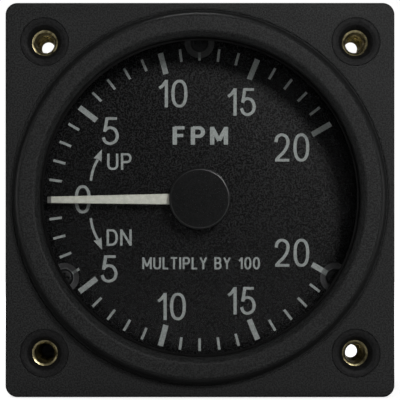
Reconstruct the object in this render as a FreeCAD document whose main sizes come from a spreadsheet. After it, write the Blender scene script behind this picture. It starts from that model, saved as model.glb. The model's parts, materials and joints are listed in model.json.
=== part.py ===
import FreeCAD, Part
import math
import os
import Sketcher

# Vertical speed indicator for a 2 1/4 inch panel hole, lengths in millimetres.
# The origin is where the dial's axis meets the panel face of the flange.
# X points right and Z up as seen from the front, and Y points into the panel.

SIZES = {
    # Panel interface
    "bolt_spacing": 47.15,
    "insert_radius": 2.125,
    "insert_bore_radius": 1.385,
    "insert_lead": 0.35,
    "insert_well_radius": 3.65,
    "insert_well_depth": 2.9,
    # Flange, its raised ring and the skirt behind it
    "flange_side_margin": 5.875,
    "flange_top_margin": 5.925,
    "flange_bottom_margin": 6.625,
    "flange_thick": 8.6,
    "corner_radius": 1.8,
    "edge_round": 0.35,
    "ring_height": 3.0,
    "ring_well_margin": 1.34,
    "ring_wall": 2.45,
    "ring_draft": 0.75,
    "lip_width": 2.25,
    "bevel_width": 1.15,
    "bevel_depth": 1.1,
    "lip_depth": 1.2,
    "chamber_step": 1.05,
    "plate_ledge": 0.55,
    "skirt_wall": 1.4,
    "skirt_round": 0.3,
    # Window
    "glass_thick": 2.4,
    "glass_chamfer": 0.3,
    "gasket_thick": 0.4,
    "gasket_width": 1.7,
    "seat_clearance": 0.1,
    "retainer_thick": 2.0,
    "retainer_width": 0.95,
    "retainer_notch_width": 1.6,
    "retainer_notch_depth": 0.8,
    "screw_slot_width": 0.56,
    # Dial and its screws
    "dial_thick": 0.5,
    "dial_edge_gap": 0.15,
    "dial_hole_radius": 3.0,
    "dial_screw_inset": 0.65,
    "dimple_radius": 2.33,
    "dimple_floor_radius": 1.5,
    "dimple_depth": 0.8,
    "dial_screw_head_radius": 1.37,
    "dial_screw_face_radius": 0.96,
    "dial_screw_radius": 0.7,
    "recess_width": 0.34,
    "recess_length": 1.5,
    # Mounting plate that carries the movement
    "plate_thick": 1.6,
    "plate_window_radius": 5.0,
    "plate_window_circle_radius": 12.5,
    "bridge_window_circle_radius": 14.0,
    # Case barrel
    "barrel_wall": 1.6,
    "spigot_gap": 0.06,
    "spigot_wall": 1.44,
    "spigot_inner_length": 1.6,
    "seal_inset": 2.3,
    "seal_thick": 0.8,
    "seal_groove_width": 0.96,
    "seal_squeeze": 0.04,
    "case_screw_inset": 2.2,
    "case_screw_radius": 1.0,
    "case_screw_head_radius": 1.9,
    "case_screw_face_radius": 1.33,
    "case_screw_head_thick": 1.1,
    "screw_gap": 0.1,
    "cover_boss_inset": 3.1,
    "cover_boss_radius": 2.7,
    "cover_boss_length": 8.0,
    # Rear cover and static port
    "cover_thick": 3.0,
    "cover_rim_drop": 0.6,
    "cover_pilot_depth": 2.4,
    "cover_pilot_gap": 0.1,
    "cover_seal_thick": 0.8,
    "cover_seal_inset": 0.8,
    "cover_screw_radius": 1.1,
    "cover_screw_head_radius": 2.0,
    "cover_screw_head_thick": 1.3,
    "cover_screw_length": 7.0,
    "port_hex_width": 14.3,
    "port_body_length": 11.0,
    "port_shank_radius": 4.8,
    "port_bore_radius": 4.3,
    "port_bore_depth": 8.0,
    "port_lead": 0.8,
    "nipple_radius": 1.8,
    "nipple_bore_radius": 0.8,
    "nipple_length": 3.5,
    "hose_wall": 1.2,
    "hose_overlap": 3.0,
    "hose_free_length": 0.7,
    # Movement frame
    "pillar_radius": 2.0,
    "pillar_wall_gap": 2.0,
    "pillar_top_inset": 2.0,
    "pillar_screw_radius": 0.9,
    "pillar_screw_head_radius": 1.7,
    "pillar_screw_head_thick": 1.0,
    "pillar_thread_length": 1.6,
    "frame_clearance": 1.07,
    "rear_plate_thick": 1.2,
    "frame_edge": 1.3,
    "bridge_thick": 1.6,
    # Gear train
    "gear_module": 0.22,
    "sector_full_teeth": 120,
    "sector_teeth": 17,
    "pinion_teeth": 12,
    "pressure_angle": 25.0,
    "tooth_addendum": 0.8,
    "tooth_dedendum": 1.15,
    "tooth_backlash": 0.16,
    "sector_thick": 1.0,
    "sector_hub_radius": 2.7,
    "sector_heel_half_width": 1.7,
    "sector_window_inner_radius": 4.4,
    "sector_rim_width": 2.2,
    "sector_window_half_angle": 17.3,
    "pinion_overhang": 0.6,
    "pinion_gap": 1.6,
    "arbor_radius": 0.75,
    "pivot_radius": 0.5,
    "pivot_gap": 0.04,
    "bush_radius": 1.7,
    "bush_rim": 0.5,
    "shoulder_gap": 0.3,
    # Pointer
    "pointer_gap": 2.1,
    "pointer_thick": 0.35,
    "pointer_tip_gap": 0.15,
    "pointer_tip_width": 1.0,
    "pointer_root_width": 1.72,
    "pointer_root_length": 2.6,
    "pointer_bevel": 0.62,
    "pointer_edge": 0.1,
    "pointer_rest_drop": 0.35,
    "hub_radius": 4.72,
    "hub_thick": 1.3,
    "hub_round": 0.35,
    "pointer_bush_radius": 1.6,
    "pointer_bush_length": 1.4,
    # Hairspring and its regulator
    "front_bush_radius": 2.6,
    "front_bush_boss": 1.7,
    "regulator_gap": 0.05,
    "regulator_thick": 0.8,
    "regulator_ring": 1.4,
    "regulator_arm_width": 1.4,
    "regulator_pin_circle_radius": 9.0,
    "regulator_pin_radius": 0.45,
    "collet_radius": 1.4,
    "collet_thick": 1.0,
    "spring_inner_radius": 1.5,
    "spring_outer_radius": 6.1,
    "spring_strip": 0.14,
    "spring_height": 0.6,
    "spring_gap": 1.4,
    # Rocker
    "tail_length": 4.6,
    "tail_offset": 2.0,
    "wire_radius": 0.35,
    "contact_gap": 0.05,
    "wire_gap": 0.09,
    "wire_overhang": 1.05,
    "tail_collar_half_width": 0.73,
    "counterweight_length": 1.5,
    "counterweight_radius": 0.9,
    "counterweight_arm_length": 4.6,
    "arm_slot_half_width": 1.05,
    "arm_slot_half_height": 1.66,
    "output_arm_length": 9.8,
    "input_arm_length": 10.5,
    "rocker_radius": 0.9,
    "rocker_half_length": 11.6,
    "rocker_collar_radius": 1.7,
    "rocker_collar_width": 2.2,
    "lug_thick": 1.2,
    "lug_half_width": 3.0,
    "rocker_pivot_radius": 0.4,
    "rocker_socket_depth": 1.2,
    "rocker_end_gap": 0.2,
    "lug_screw_radius": 1.0,
    "lug_screw_length": 4.6,
    "lug_nut_thick": 1.2,
    "lug_nut_width": 3.6,
    "input_pin_radius": 0.4,
    "input_pin_half_length": 1.5,
    "input_arm_overhang": 0.8,
    "arm_thick": 1.2,
    # Capsule and its link
    "capsule_gap": 3.5,
    "capsule_rim_width": 1.2,
    "capsule_boss_radius": 4.2,
    "capsule_dome": 2.6,
    "capsule_wave": 0.75,
    "capsule_skin": 0.22,
    "stud_radius": 1.2,
    "stud_head_radius": 2.8,
    "stud_head_thick": 1.0,
    "yoke_gap": 0.08,
    "yoke_cheek": 0.7,
    "yoke_half_height": 1.5,
    "yoke_front_length": 1.3,
    "yoke_back_length": 2.1,
    "yoke_bridge_length": 1.05,
    "yoke_slot_play": 0.08,
    "yoke_slot_rise": 0.35,
    "link_radius": 0.7,
    "link_length": 2.83,
    "stem_radius": 2.0,
    "stem_shoulder_radius": 3.2,
    "stem_shoulder_length": 3.38,
    "stem_nut_width": 6.5,
    "stem_nut_thick": 2.2,
    "stem_engagement_length": 2.3,
    # Manifold and metering unit
    "manifold_width": 10.0,
    "manifold_height": 8.0,
    "manifold_depth": 7.0,
    "manifold_gap": 0.3,
    "metering_depth": 4.2,
    "metering_radius": 2.8,
    "metering_cap_radius": 1.96,
    "metering_length": 9.0,
    "metering_thread_radius": 1.5,
    "metering_thread_length": 2.2,
    "metering_bore_radius": 0.5,
    # Zero adjuster behind the lower left insert
    "adjuster_boss_radius": 4.2,
    "adjuster_web_half_width": 4.2,
    "driver_hole_radius": 1.65,
    "driver_floor": 0.8,
    "adjuster_bore_radius": 2.6,
    "adjuster_chamber_radius": 3.45,
    "adjuster_chamber_gap": 0.4,
    "adjuster_radius": 2.5,
    "adjuster_head_thick": 1.5,
    "adjuster_groove_radius": 1.7,
    "adjuster_groove_width": 1.1,
    "adjuster_slot_width": 0.6,
    "adjuster_slot_depth": 0.7,
    "eccentric_radius": 1.7,
    "eccentric_offset": 0.7,
    "adjuster_journal_radius": 1.2,
    "plug_floor": 2.0,
    "plug_gap": 0.9,
    "plug_thick": 4.1,
    "plug_wall_gap": 0.02,
    "plug_slot_width": 0.8,
    # Zero lever
    "lever_gap": 0.6,
    "lever_thick": 1.3,
    "lever_pin_arm_length": 11.0,
    "lever_half_width": 1.1,
    "fork_wall": 0.85,
    "fork_gap": 0.1,
    "lever_window_half_width": 3.4,
    "lever_stud_radius": 1.6,
    "lever_journal_radius": 0.9,
    "lever_hub_radius": 2.2,
}

DIAGONAL = math.sqrt(0.5)
PILLAR_ANGLE = 20.0
PILLAR_ACROSS = math.cos(math.radians(PILLAR_ANGLE))
PILLAR_DOWN = math.sin(math.radians(PILLAR_ANGLE))
CORNERS = [(-1, 1), (1, 1), (1, -1), (-1, -1)]
THIRDS = [90.0, 210.0, 330.0]
CASE_SCREW_ANGLES = [45.0, 135.0, 315.0]
COVER_SCREW_ANGLES = [45.0, 135.0, 225.0, 315.0]
PLATE_WINDOW_ANGLES = [0.0, 60.0, 120.0, 180.0]
REAR_WINDOW_ANGLES = [25.0, 155.0]
BRIDGE_WINDOW_ANGLES = [35.0, 145.0, 235.0, 305.0]
INVOLUTE_STEPS = 3
CAPSULE_WAVES = 3
HAIRSPRING_HALF_TURNS = 8

doc = FreeCAD.newDocument("vertical_speed_indicator")
nodes = []


class Size:
    """A length with its number and the sheet expression that gives it."""

    def __init__(self, value, text):
        self.value = float(value)
        self.text = text

    def join(self, other, sign, value):
        return Size(value, "(%s %s %s)" % (self.text, sign, other.text))

    def __add__(self, other):
        other = as_size(other)
        return self.join(other, "+", self.value + other.value)

    def __sub__(self, other):
        other = as_size(other)
        return self.join(other, "-", self.value - other.value)

    def __mul__(self, other):
        other = as_size(other)
        return self.join(other, "*", self.value * other.value)

    def __truediv__(self, other):
        other = as_size(other)
        return self.join(other, "/", self.value / other.value)

    def __neg__(self):
        return as_size(0.0) - self

    def __radd__(self, other):
        return as_size(other) + self

    def __rsub__(self, other):
        return as_size(other) - self

    def __rmul__(self, other):
        return as_size(other) * self


def as_size(number):
    """Turn a plain number into a Size, and leave a Size as it is."""
    if isinstance(number, Size):
        return number
    return Size(number, "(%.9f)" % number)


class SizeBook:
    """Gives each named cell of the sheet as a Size."""

    def __getattr__(self, name):
        return Size(SIZES[name], "Sizes." + name)


size = SizeBook()


def make_sheet():
    """Write every driving size into its own cell, with its name as alias."""
    sheet = doc.addObject("Spreadsheet::Sheet", "Sizes")
    for row, (name, number) in enumerate(SIZES.items(), start=1):
        sheet.set("A%d" % row, name)
        sheet.set("B%d" % row, str(number))
        sheet.setAlias("B%d" % row, name)
    doc.recompute()


# Radii and places across the axis, from the square of screws inward
bolt_half = size.bolt_spacing / 2
bolt_circle = bolt_half / DIAGONAL
ring_root_radius = bolt_circle - size.insert_well_radius - size.ring_well_margin
ring_top_radius = ring_root_radius - size.ring_draft
seat_radius = ring_root_radius - size.ring_wall
glass_radius = seat_radius - size.seat_clearance
aperture_radius = seat_radius - size.lip_width
bevel_radius = aperture_radius + size.bevel_width
chamber_radius = seat_radius + size.chamber_step
skirt_bore_radius = chamber_radius + size.plate_ledge
skirt_outer_radius = skirt_bore_radius + size.skirt_wall
plate_radius = skirt_bore_radius - size.seat_clearance
dial_radius = chamber_radius - size.dial_edge_gap
dial_screw_circle = aperture_radius + size.dial_screw_inset
pointer_length = aperture_radius - size.pointer_tip_gap
spigot_radius = skirt_bore_radius - size.spigot_gap
spigot_bore_radius = spigot_radius - size.spigot_wall
barrel_bore_radius = skirt_outer_radius - size.barrel_wall
cover_boss_circle = barrel_bore_radius - size.cover_boss_inset
pillar_circle = spigot_bore_radius - size.pillar_radius - size.pillar_wall_gap
rear_plate_radius = pillar_circle + size.frame_edge
capsule_radius = pillar_circle - size.pillar_radius - size.capsule_gap
sector_z = -size.gear_module * (size.sector_full_teeth + size.pinion_teeth) / 2
rocker_z = sector_z + size.wire_radius * 2 + size.wire_gap
capsule_z = rocker_z + size.input_arm_length
lug_inside = size.rocker_half_length + size.contact_gap
lever_stud_reach = size.regulator_pin_circle_radius + size.lever_pin_arm_length

# Places along Y, counted from the panel face
ring_front = -size.ring_height
lip_back = -size.lip_depth
glass_front = lip_back + size.gasket_thick
glass_back = glass_front + size.glass_thick
retainer_back = glass_back + size.retainer_thick
plate_front = size.flange_thick
plate_back = plate_front + size.plate_thick
dial_back = plate_front - size.dimple_depth
dial_front = dial_back - size.dial_thick
pointer_back = dial_front - size.pointer_gap
pointer_front = pointer_back - size.pointer_thick
regulator_front = plate_back + size.contact_gap * 2
regulator_back = regulator_front + size.regulator_thick
spring_front = regulator_back + size.spring_gap
spring_back = spring_front + size.spring_height
lever_front = spring_back + size.lever_gap
lever_back = lever_front + size.lever_thick
pinion_front = lever_back + size.pinion_gap
sector_front = pinion_front + size.pinion_overhang
sector_back = sector_front + size.sector_thick
pinion_back = sector_back + size.pinion_overhang
tail_middle = sector_back + size.tail_offset
rear_plate_front = tail_middle + size.tail_collar_half_width + size.frame_clearance
rear_plate_back = rear_plate_front + size.rear_plate_thick
rocker_y = tail_middle + size.output_arm_length
yoke_back = rocker_y + size.yoke_back_length
link_front = yoke_back + size.yoke_bridge_length
stud_front = link_front + size.link_length
stud_back = stud_front + size.stud_head_thick
capsule_rim = stud_back + size.capsule_skin + size.capsule_dome
stem_front = capsule_rim + size.capsule_dome + size.capsule_skin
bridge_front = stem_front + size.stem_shoulder_length
bridge_back = bridge_front + size.bridge_thick
manifold_front = bridge_back + size.stem_nut_thick + size.manifold_gap
manifold_back = manifold_front + size.manifold_depth
manifold_nipple_end = manifold_back + size.nipple_length
port_nipple_front = manifold_nipple_end + size.hose_free_length
port_shank_front = port_nipple_front + size.nipple_length
pilot_front = port_shank_front - size.cover_pilot_depth / 2
cover_front = pilot_front + size.cover_pilot_depth
cover_back = cover_front + size.cover_thick
port_end = cover_back + size.port_body_length
chamber_floor = lever_front - size.adjuster_chamber_gap
plug_front = lever_back + size.plug_gap
skirt_end = plug_front + size.plug_thick
journal_end = skirt_end - size.plug_floor
seal_middle = skirt_end - size.seal_inset
case_screw_middle = plate_back + size.case_screw_inset

PILLARS = [
    (-pillar_circle * PILLAR_ACROSS, -pillar_circle * PILLAR_DOWN),
    (pillar_circle * PILLAR_ACROSS, -pillar_circle * PILLAR_DOWN),
    (as_size(0.0), pillar_circle - size.pillar_top_inset),
]


def new_body(label):
    """Start a sub-part: its label is also the name of its file."""
    body = doc.addObject("PartDesign::Body", label)
    body.Label = label
    body.AllowCompound = True
    nodes.append(body)
    return body


def origin_feature(body, role):
    return next(o for o in body.Origin.OriginFeatures if o.Role == role)


def pin_point(sketch, geometry, vertex, x, y):
    """Fix one sketch point at two sizes from the sketch's origin."""
    for kind, part in (("DistanceX", as_size(x)), ("DistanceY", as_size(y))):
        rule = sketch.addConstraint(
            Sketcher.Constraint(kind, -1, 1, geometry, vertex, part.value)
        )
        sketch.setExpression("Constraints[%d]" % rule, part.text)


def draw_polygon(sketch, points):
    """Closed outline of straight lines through the points."""
    places = [FreeCAD.Vector(as_size(x).value, as_size(y).value, 0) for x, y in points]
    first = sketch.GeometryCount
    count = len(points)
    for i in range(count):
        sketch.addGeometry(Part.LineSegment(places[i], places[(i + 1) % count]))
    for i in range(count):
        following = first + (i + 1) % count
        sketch.addConstraint(Sketcher.Constraint("Coincident", first + i, 2, following, 1))
    for i, (x, y) in enumerate(points):
        pin_point(sketch, first + i, 1, x, y)


def draw_circle(sketch, x, y, radius):
    centre = FreeCAD.Vector(as_size(x).value, as_size(y).value, 0)
    radius = as_size(radius)
    up = FreeCAD.Vector(0, 0, 1)
    circle = sketch.addGeometry(Part.Circle(centre, up, radius.value))
    pin_point(sketch, circle, 3, x, y)
    rule = sketch.addConstraint(Sketcher.Constraint("Radius", circle, radius.value))
    sketch.setExpression("Constraints[%d]" % rule, radius.text)


def new_sketch(body, role, offset, turn=0.0):
    """Sketch on one of the body's origin planes, shifted and turned."""
    sketch = body.newObject("Sketcher::SketchObject", body.Label + "_sketch")
    sketch.AttachmentSupport = (origin_feature(body, role), [""])
    sketch.MapMode = "FlatFace"
    shift = [as_size(part) for part in offset]
    place = FreeCAD.Vector(*[part.value for part in shift])
    spin = FreeCAD.Rotation(FreeCAD.Vector(0, 0, 1), turn)
    sketch.AttachmentOffset = FreeCAD.Placement(place, spin)
    for axis, part in zip("xyz", shift):
        sketch.setExpression("AttachmentOffset.Base." + axis, part.text)
    return sketch


def finish_feature(body, feature, adds):
    """Recompute, and make sure that the feature changed the solid."""
    before = feature.BaseFeature.Shape.Volume if feature.BaseFeature else 0.0
    doc.recompute()
    change = feature.Shape.Volume - before
    if adds != (change > 1e-4) or (not adds and change > -1e-4):
        raise RuntimeError("%s changed nothing: %.5f" % (feature.Name, change))
    return feature


def slab(body, outlines, start, end, adds=True):
    """Pad or pocket between two depths along Y, from outlines in X and Z."""
    sketch = new_sketch(body, "XZ_Plane", (0.0, 0.0, -as_size(start)))
    for outline in outlines:
        if outline[0] == "circle":
            draw_circle(sketch, *outline[1:])
        else:
            draw_polygon(sketch, outline)
    kind = "PartDesign::Pad" if adds else "PartDesign::Pocket"
    feature = body.newObject(kind, body.Label + "_slab")
    feature.Profile = sketch
    feature.Length = (as_size(end) - start).value
    feature.setExpression("Length", (as_size(end) - start).text)
    feature.Reversed = adds
    return finish_feature(body, feature, adds)


def turning(body, profile, adds=True, at=(0.0, 0.0)):
    """Solid or groove turned about a line along Y, from (radius, y) points."""
    sketch = new_sketch(body, "XY_Plane", (at[0], 0.0, at[1]))
    draw_polygon(sketch, profile)
    kind = "PartDesign::Revolution" if adds else "PartDesign::Groove"
    feature = body.newObject(kind, body.Label + "_turning")
    feature.Profile = sketch
    feature.ReferenceAxis = (sketch, ["V_Axis"])
    feature.Angle = 360
    return finish_feature(body, feature, adds)


def radial_turning(body, profile, depth, angle, adds=True):
    """Turning about a line that runs out from the dial axis at an angle."""
    sketch = new_sketch(body, "XZ_Plane", (0.0, 0.0, -as_size(depth)), angle)
    draw_polygon(sketch, profile)
    kind = "PartDesign::Revolution" if adds else "PartDesign::Groove"
    feature = body.newObject(kind, body.Label + "_radial")
    feature.Profile = sketch
    feature.ReferenceAxis = (sketch, ["H_Axis"])
    feature.Angle = 360
    return finish_feature(body, feature, adds)


def cross_turning(body, profile, depth, height, adds=True):
    """Turning about a line along X, from (x, radius) points."""
    sketch = new_sketch(body, "XY_Plane", (0.0, depth, height))
    draw_polygon(sketch, profile)
    kind = "PartDesign::Revolution" if adds else "PartDesign::Groove"
    feature = body.newObject(kind, body.Label + "_cross")
    feature.Profile = sketch
    feature.ReferenceAxis = (sketch, ["H_Axis"])
    feature.Angle = 360
    return finish_feature(body, feature, adds)


def side_slab(body, outlines, start, end, adds=True):
    """Pad or pocket between two places along X, from outlines in Y and Z."""
    sketch = new_sketch(body, "YZ_Plane", (0.0, 0.0, start))
    for outline in outlines:
        if outline[0] == "circle":
            draw_circle(sketch, *outline[1:])
        else:
            draw_polygon(sketch, outline)
    kind = "PartDesign::Pad" if adds else "PartDesign::Pocket"
    feature = body.newObject(kind, body.Label + "_side")
    feature.Profile = sketch
    feature.Length = (as_size(end) - start).value
    feature.setExpression("Length", (as_size(end) - start).text)
    feature.Reversed = not adds
    return finish_feature(body, feature, adds)


def soften(body, kind, radius, test):
    """Fillet or chamfer the edges of the body's tip that pass the test."""
    tip = body.Tip
    names = [
        "Edge%d" % (i + 1) for i, edge in enumerate(tip.Shape.Edges) if test(edge)
    ]
    if not names:
        raise RuntimeError(body.Label + " has no edge to soften")
    feature = body.newObject("PartDesign::" + kind, body.Label + "_soft")
    feature.Base = (tip, names)
    if kind == "Fillet":
        feature.Radius = radius.value
        feature.setExpression("Radius", radius.text)
    else:
        feature.Size = radius.value
        feature.setExpression("Size", radius.text)
    doc.recompute()
    return feature


def lies_at(edge, depth):
    """True for an edge whose every point is at one depth along Y."""
    box = edge.BoundBox
    return max(abs(box.YMin - depth.value), abs(box.YMax - depth.value)) < 1e-4


def is_rim(edge, radius, depth):
    """True for a round edge of one radius at one depth."""
    if not hasattr(edge.Curve, "Radius") or not lies_at(edge, depth):
        return False
    return abs(edge.Curve.Radius - radius.value) < 1e-4


def ring_profile(inner, outer, front, back):
    return [(inner, front), (outer, front), (outer, back), (inner, back)]


def rectangle(x_low, x_high, y_low, y_high):
    return [(x_low, y_low), (x_high, y_low), (x_high, y_high), (x_low, y_high)]


def along_diagonal(near, far, half_width):
    """Rectangle along the line from the dial axis to the lower left corner."""
    corners = [(near, -1), (near, 1), (far, 1), (far, -1)]
    outline = []
    for reach, side in corners:
        outline.append(
            (
                (half_width * side - reach) * DIAGONAL,
                (-as_size(half_width) * side - reach) * DIAGONAL,
            )
        )
    return outline


def diagonal_point(reach):
    """Point on that line, at a distance from the dial axis."""
    return (-as_size(reach) * DIAGONAL, -as_size(reach) * DIAGONAL)


def polar_point(radius, angle):
    return (
        as_size(radius) * math.cos(math.radians(angle)),
        as_size(radius) * math.sin(math.radians(angle)),
    )


def hexagon(x, y, across_flats):
    """Six points about a centre, with two flats upright."""
    reach = as_size(across_flats) / math.sqrt(3)
    points = []
    for i in range(6):
        dx, dy = polar_point(reach, 30 + 60 * i)
        points.append((as_size(x) + dx, as_size(y) + dy))
    return points


def screw(body, at, head_radius, head_back, head_thick, shank_radius, length):
    """Turned screw along Y whose head lies at its rear, with a slot."""
    head_front = head_back - head_thick
    profile = [
        (0.0, head_front - length),
        (shank_radius, head_front - length),
        (shank_radius, head_front),
        (head_radius, head_front),
        (head_radius, head_back),
        (0.0, head_back),
    ]
    turning(body, profile, True, at)
    half_width = size.screw_slot_width / 2
    x, z = as_size(at[0]), as_size(at[1])
    slot = rectangle(x - head_radius, x + head_radius, z - half_width, z + half_width)
    slab(body, [slot], head_back - head_thick / 2, head_back, False)


# Case and window


def front_bezel():
    """Moulded square flange with the raised ring, the skirt and one boss."""
    body = new_body("front_bezel")
    half = bolt_half + size.flange_side_margin
    top = bolt_half + size.flange_top_margin
    bottom = -bolt_half - size.flange_bottom_margin
    slab(body, [rectangle(-half, half, bottom, top)], 0.0, size.flange_thick)
    soften(body, "Fillet", size.corner_radius, stands_along_y)
    soften(body, "Fillet", size.edge_round, lambda edge: lies_at(edge, as_size(0.0)))
    middle = size.flange_thick / 2
    ring = [
        (0.0, ring_front),
        (ring_top_radius, ring_front),
        (ring_root_radius, 0.0),
        (ring_root_radius, middle),
        (0.0, middle),
    ]
    turning(body, ring)
    turning(body, ring_profile(0.0, skirt_outer_radius, middle, skirt_end))
    add_adjuster_boss(body)
    hollow = [
        (0.0, ring_front),
        (bevel_radius, ring_front),
        (aperture_radius, ring_front + size.bevel_depth),
        (aperture_radius, lip_back),
        (seat_radius, lip_back),
        (seat_radius, retainer_back),
        (chamber_radius, retainer_back),
        (chamber_radius, plate_front),
        (skirt_bore_radius, plate_front),
        (skirt_bore_radius, skirt_end),
        (0.0, skirt_end),
    ]
    turning(body, hollow, False)
    cut_insert_holes(body)
    cut_adjuster_chamber(body)
    reach = skirt_outer_radius + size.case_screw_head_thick
    for angle in CASE_SCREW_ANGLES:
        hole = rectangle(
            chamber_radius, reach, 0.0, size.case_screw_radius + size.screw_gap
        )
        radial_turning(body, hole, case_screw_middle, angle, False)
    soften(body, "Fillet", size.edge_round, is_ring_edge)
    return body


def stands_along_y(edge):
    box = edge.BoundBox
    return box.XLength < 1e-4 and box.ZLength < 1e-4


def is_ring_edge(edge):
    outer = is_rim(edge, ring_top_radius, ring_front)
    return outer or is_rim(edge, bevel_radius, ring_front)


def add_adjuster_boss(body):
    """Boss behind the lower left insert, webbed to the skirt."""
    x, z = diagonal_point(bolt_circle)
    boss = ("circle", x, z, size.adjuster_boss_radius)
    slab(body, [boss], size.flange_thick / 2, skirt_end)
    web = along_diagonal(
        skirt_bore_radius, bolt_circle, size.adjuster_web_half_width
    )
    slab(body, [web], size.flange_thick / 2, skirt_end)


def cut_insert_holes(body):
    """Wells that clear the screws and the holes that hold the inserts."""
    wells = []
    holes = []
    for across, up in CORNERS:
        place = (bolt_half * across, bolt_half * up)
        wells.append(("circle", *place, size.insert_well_radius))
        holes.append(("circle", *place, size.insert_radius))
    slab(body, wells, 0.0, size.insert_well_depth, False)
    slab(body, holes, size.insert_well_depth, size.flange_thick, False)


def cut_adjuster_chamber(body):
    """Stepped bore for the zero adjuster and the window for its lever."""
    floor = size.flange_thick + size.driver_floor
    chamber = [
        (0.0, size.flange_thick),
        (size.driver_hole_radius, size.flange_thick),
        (size.driver_hole_radius, floor),
        (size.adjuster_bore_radius, floor),
        (size.adjuster_bore_radius, chamber_floor),
        (size.adjuster_chamber_radius, chamber_floor),
        (size.adjuster_chamber_radius, skirt_end),
        (0.0, skirt_end),
    ]
    turning(body, chamber, False, diagonal_point(bolt_circle))
    window = along_diagonal(
        chamber_radius, bolt_circle, size.lever_window_half_width
    )
    slab(body, [window], chamber_floor, plug_front, False)


def mounting_inserts():
    """Four threaded inserts, pressed into the corners of the flange."""
    body = new_body("mounting_inserts")
    front = size.insert_well_depth
    profile = [
        (size.insert_bore_radius + size.insert_lead, front),
        (size.insert_radius, front),
        (size.insert_radius, size.flange_thick),
        (size.insert_bore_radius, size.flange_thick),
        (size.insert_bore_radius, front + size.insert_lead),
    ]
    for across, up in CORNERS:
        turning(body, profile, True, (bolt_half * across, bolt_half * up))


def window_parts():
    """Glass, its gasket under the lip and the ring that holds it."""
    gasket = new_body("window_gasket")
    inner = glass_radius - size.gasket_width
    turning(gasket, ring_profile(inner, glass_radius, lip_back, glass_front))
    glass = new_body("window_glass")
    edge = size.glass_chamfer
    turning(
        glass,
        [
            (0.0, glass_front),
            (glass_radius - edge, glass_front),
            (glass_radius, glass_front + edge),
            (glass_radius, glass_back - edge),
            (glass_radius - edge, glass_back),
            (0.0, glass_back),
        ],
    )
    ring = new_body("window_retaining_ring")
    outer = seat_radius - size.screw_gap / 2
    inner = outer - size.retainer_width
    turning(ring, ring_profile(inner, outer, glass_back, retainer_back))
    half = size.retainer_notch_width / 2
    notch = rectangle(-outer, outer, -half, half)
    slab(ring, [notch], retainer_back - size.retainer_notch_depth, retainer_back, False)


# Dial


def dial_plate():
    """Dial disc with three pressed dimples that stand it off the plate."""
    body = new_body("dial_plate")
    disc = ring_profile(
        size.dial_hole_radius, dial_radius, dial_front, dial_back
    )
    turning(body, disc)
    floor = dial_front + size.dimple_depth
    for angle in THIRDS:
        at = polar_point(dial_screw_circle, angle)
        cup = [
            (0.0, dial_back),
            (size.dimple_radius, dial_back),
            (size.dimple_floor_radius + size.dial_thick / 2, plate_front),
            (0.0, plate_front),
        ]
        turning(body, cup, True, at)
        well = [
            (0.0, dial_front),
            (size.dimple_radius, dial_front),
            (size.dimple_floor_radius, floor),
            (size.dial_screw_radius + size.screw_gap, floor),
            (size.dial_screw_radius + size.screw_gap, plate_front),
            (0.0, plate_front),
        ]
        turning(body, well, False, at)


def dial_screws():
    """Three pan head screws with a cross recess."""
    body = new_body("dial_screws")
    head_back = dial_front + size.dimple_depth
    middle = dial_front + size.dimple_depth / 2
    for angle in THIRDS:
        at = polar_point(dial_screw_circle, angle)
        profile = [
            (0.0, dial_front),
            (size.dial_screw_face_radius, dial_front),
            (size.dial_screw_head_radius, middle),
            (size.dial_screw_head_radius, head_back),
            (size.dial_screw_radius, head_back),
            (size.dial_screw_radius, plate_back),
            (0.0, plate_back),
        ]
        turning(body, profile, True, at)
        long_half = size.recess_length / 2
        short_half = size.recess_width / 2
        for across, up in ((long_half, short_half), (short_half, long_half)):
            arm = rectangle(at[0] - across, at[0] + across, at[1] - up, at[1] + up)
            slab(body, [arm], dial_front, middle, False)


# Movement frame


def mounting_plate():
    """Round plate clamped against the ledge: it carries dial and movement."""
    body = new_body("mounting_plate")
    turning(body, ring_profile(0.0, plate_radius, plate_front, plate_back))
    holes = [
        ("circle", 0.0, 0.0, size.front_bush_radius),
        ("circle", 0.0, sector_z, size.bush_radius),
        ("circle", *diagonal_point(lever_stud_reach), size.lever_journal_radius),
    ]
    for angle in THIRDS:
        place = polar_point(dial_screw_circle, angle)
        holes.append(("circle", *place, size.dial_screw_radius))
    for x, z in PILLARS:
        holes.append(("circle", x, z, size.pillar_screw_radius + size.screw_gap))
    for angle in PLATE_WINDOW_ANGLES:
        place = polar_point(size.plate_window_circle_radius, angle)
        holes.append(("circle", *place, size.plate_window_radius))
    slab(body, holes, plate_front, plate_back, False)


def plate_screws():
    """Screws from the front of the mounting plate into the frame pillars."""
    body = new_body("plate_screws")
    head_front = dial_back + size.contact_gap * 2
    for x, z in PILLARS:
        profile = [
            (0.0, head_front),
            (size.pillar_screw_head_radius, head_front),
            (size.pillar_screw_head_radius, plate_front),
            (size.pillar_screw_radius, plate_front),
            (size.pillar_screw_radius, plate_back + size.pillar_thread_length),
            (0.0, plate_back + size.pillar_thread_length),
        ]
        turning(body, profile, True, (x, z))


def pillar_set(label, front, back):
    """Three pillars with a threaded socket in each end."""
    body = new_body(label)
    outlines = [("circle", x, z, size.pillar_radius) for x, z in PILLARS]
    slab(body, outlines, front, back)
    sockets = [("circle", x, z, size.pillar_screw_radius) for x, z in PILLARS]
    slab(body, sockets, front, front + size.pillar_thread_length, False)
    slab(body, sockets, back - size.pillar_thread_length, back, False)


def pillar_studs():
    """Threaded studs that join the two sets of pillars through the plate."""
    body = new_body("pillar_studs")
    outlines = [("circle", x, z, size.pillar_screw_radius) for x, z in PILLARS]
    front = rear_plate_front - size.pillar_thread_length
    slab(body, outlines, front, rear_plate_back + size.pillar_thread_length)


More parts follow.
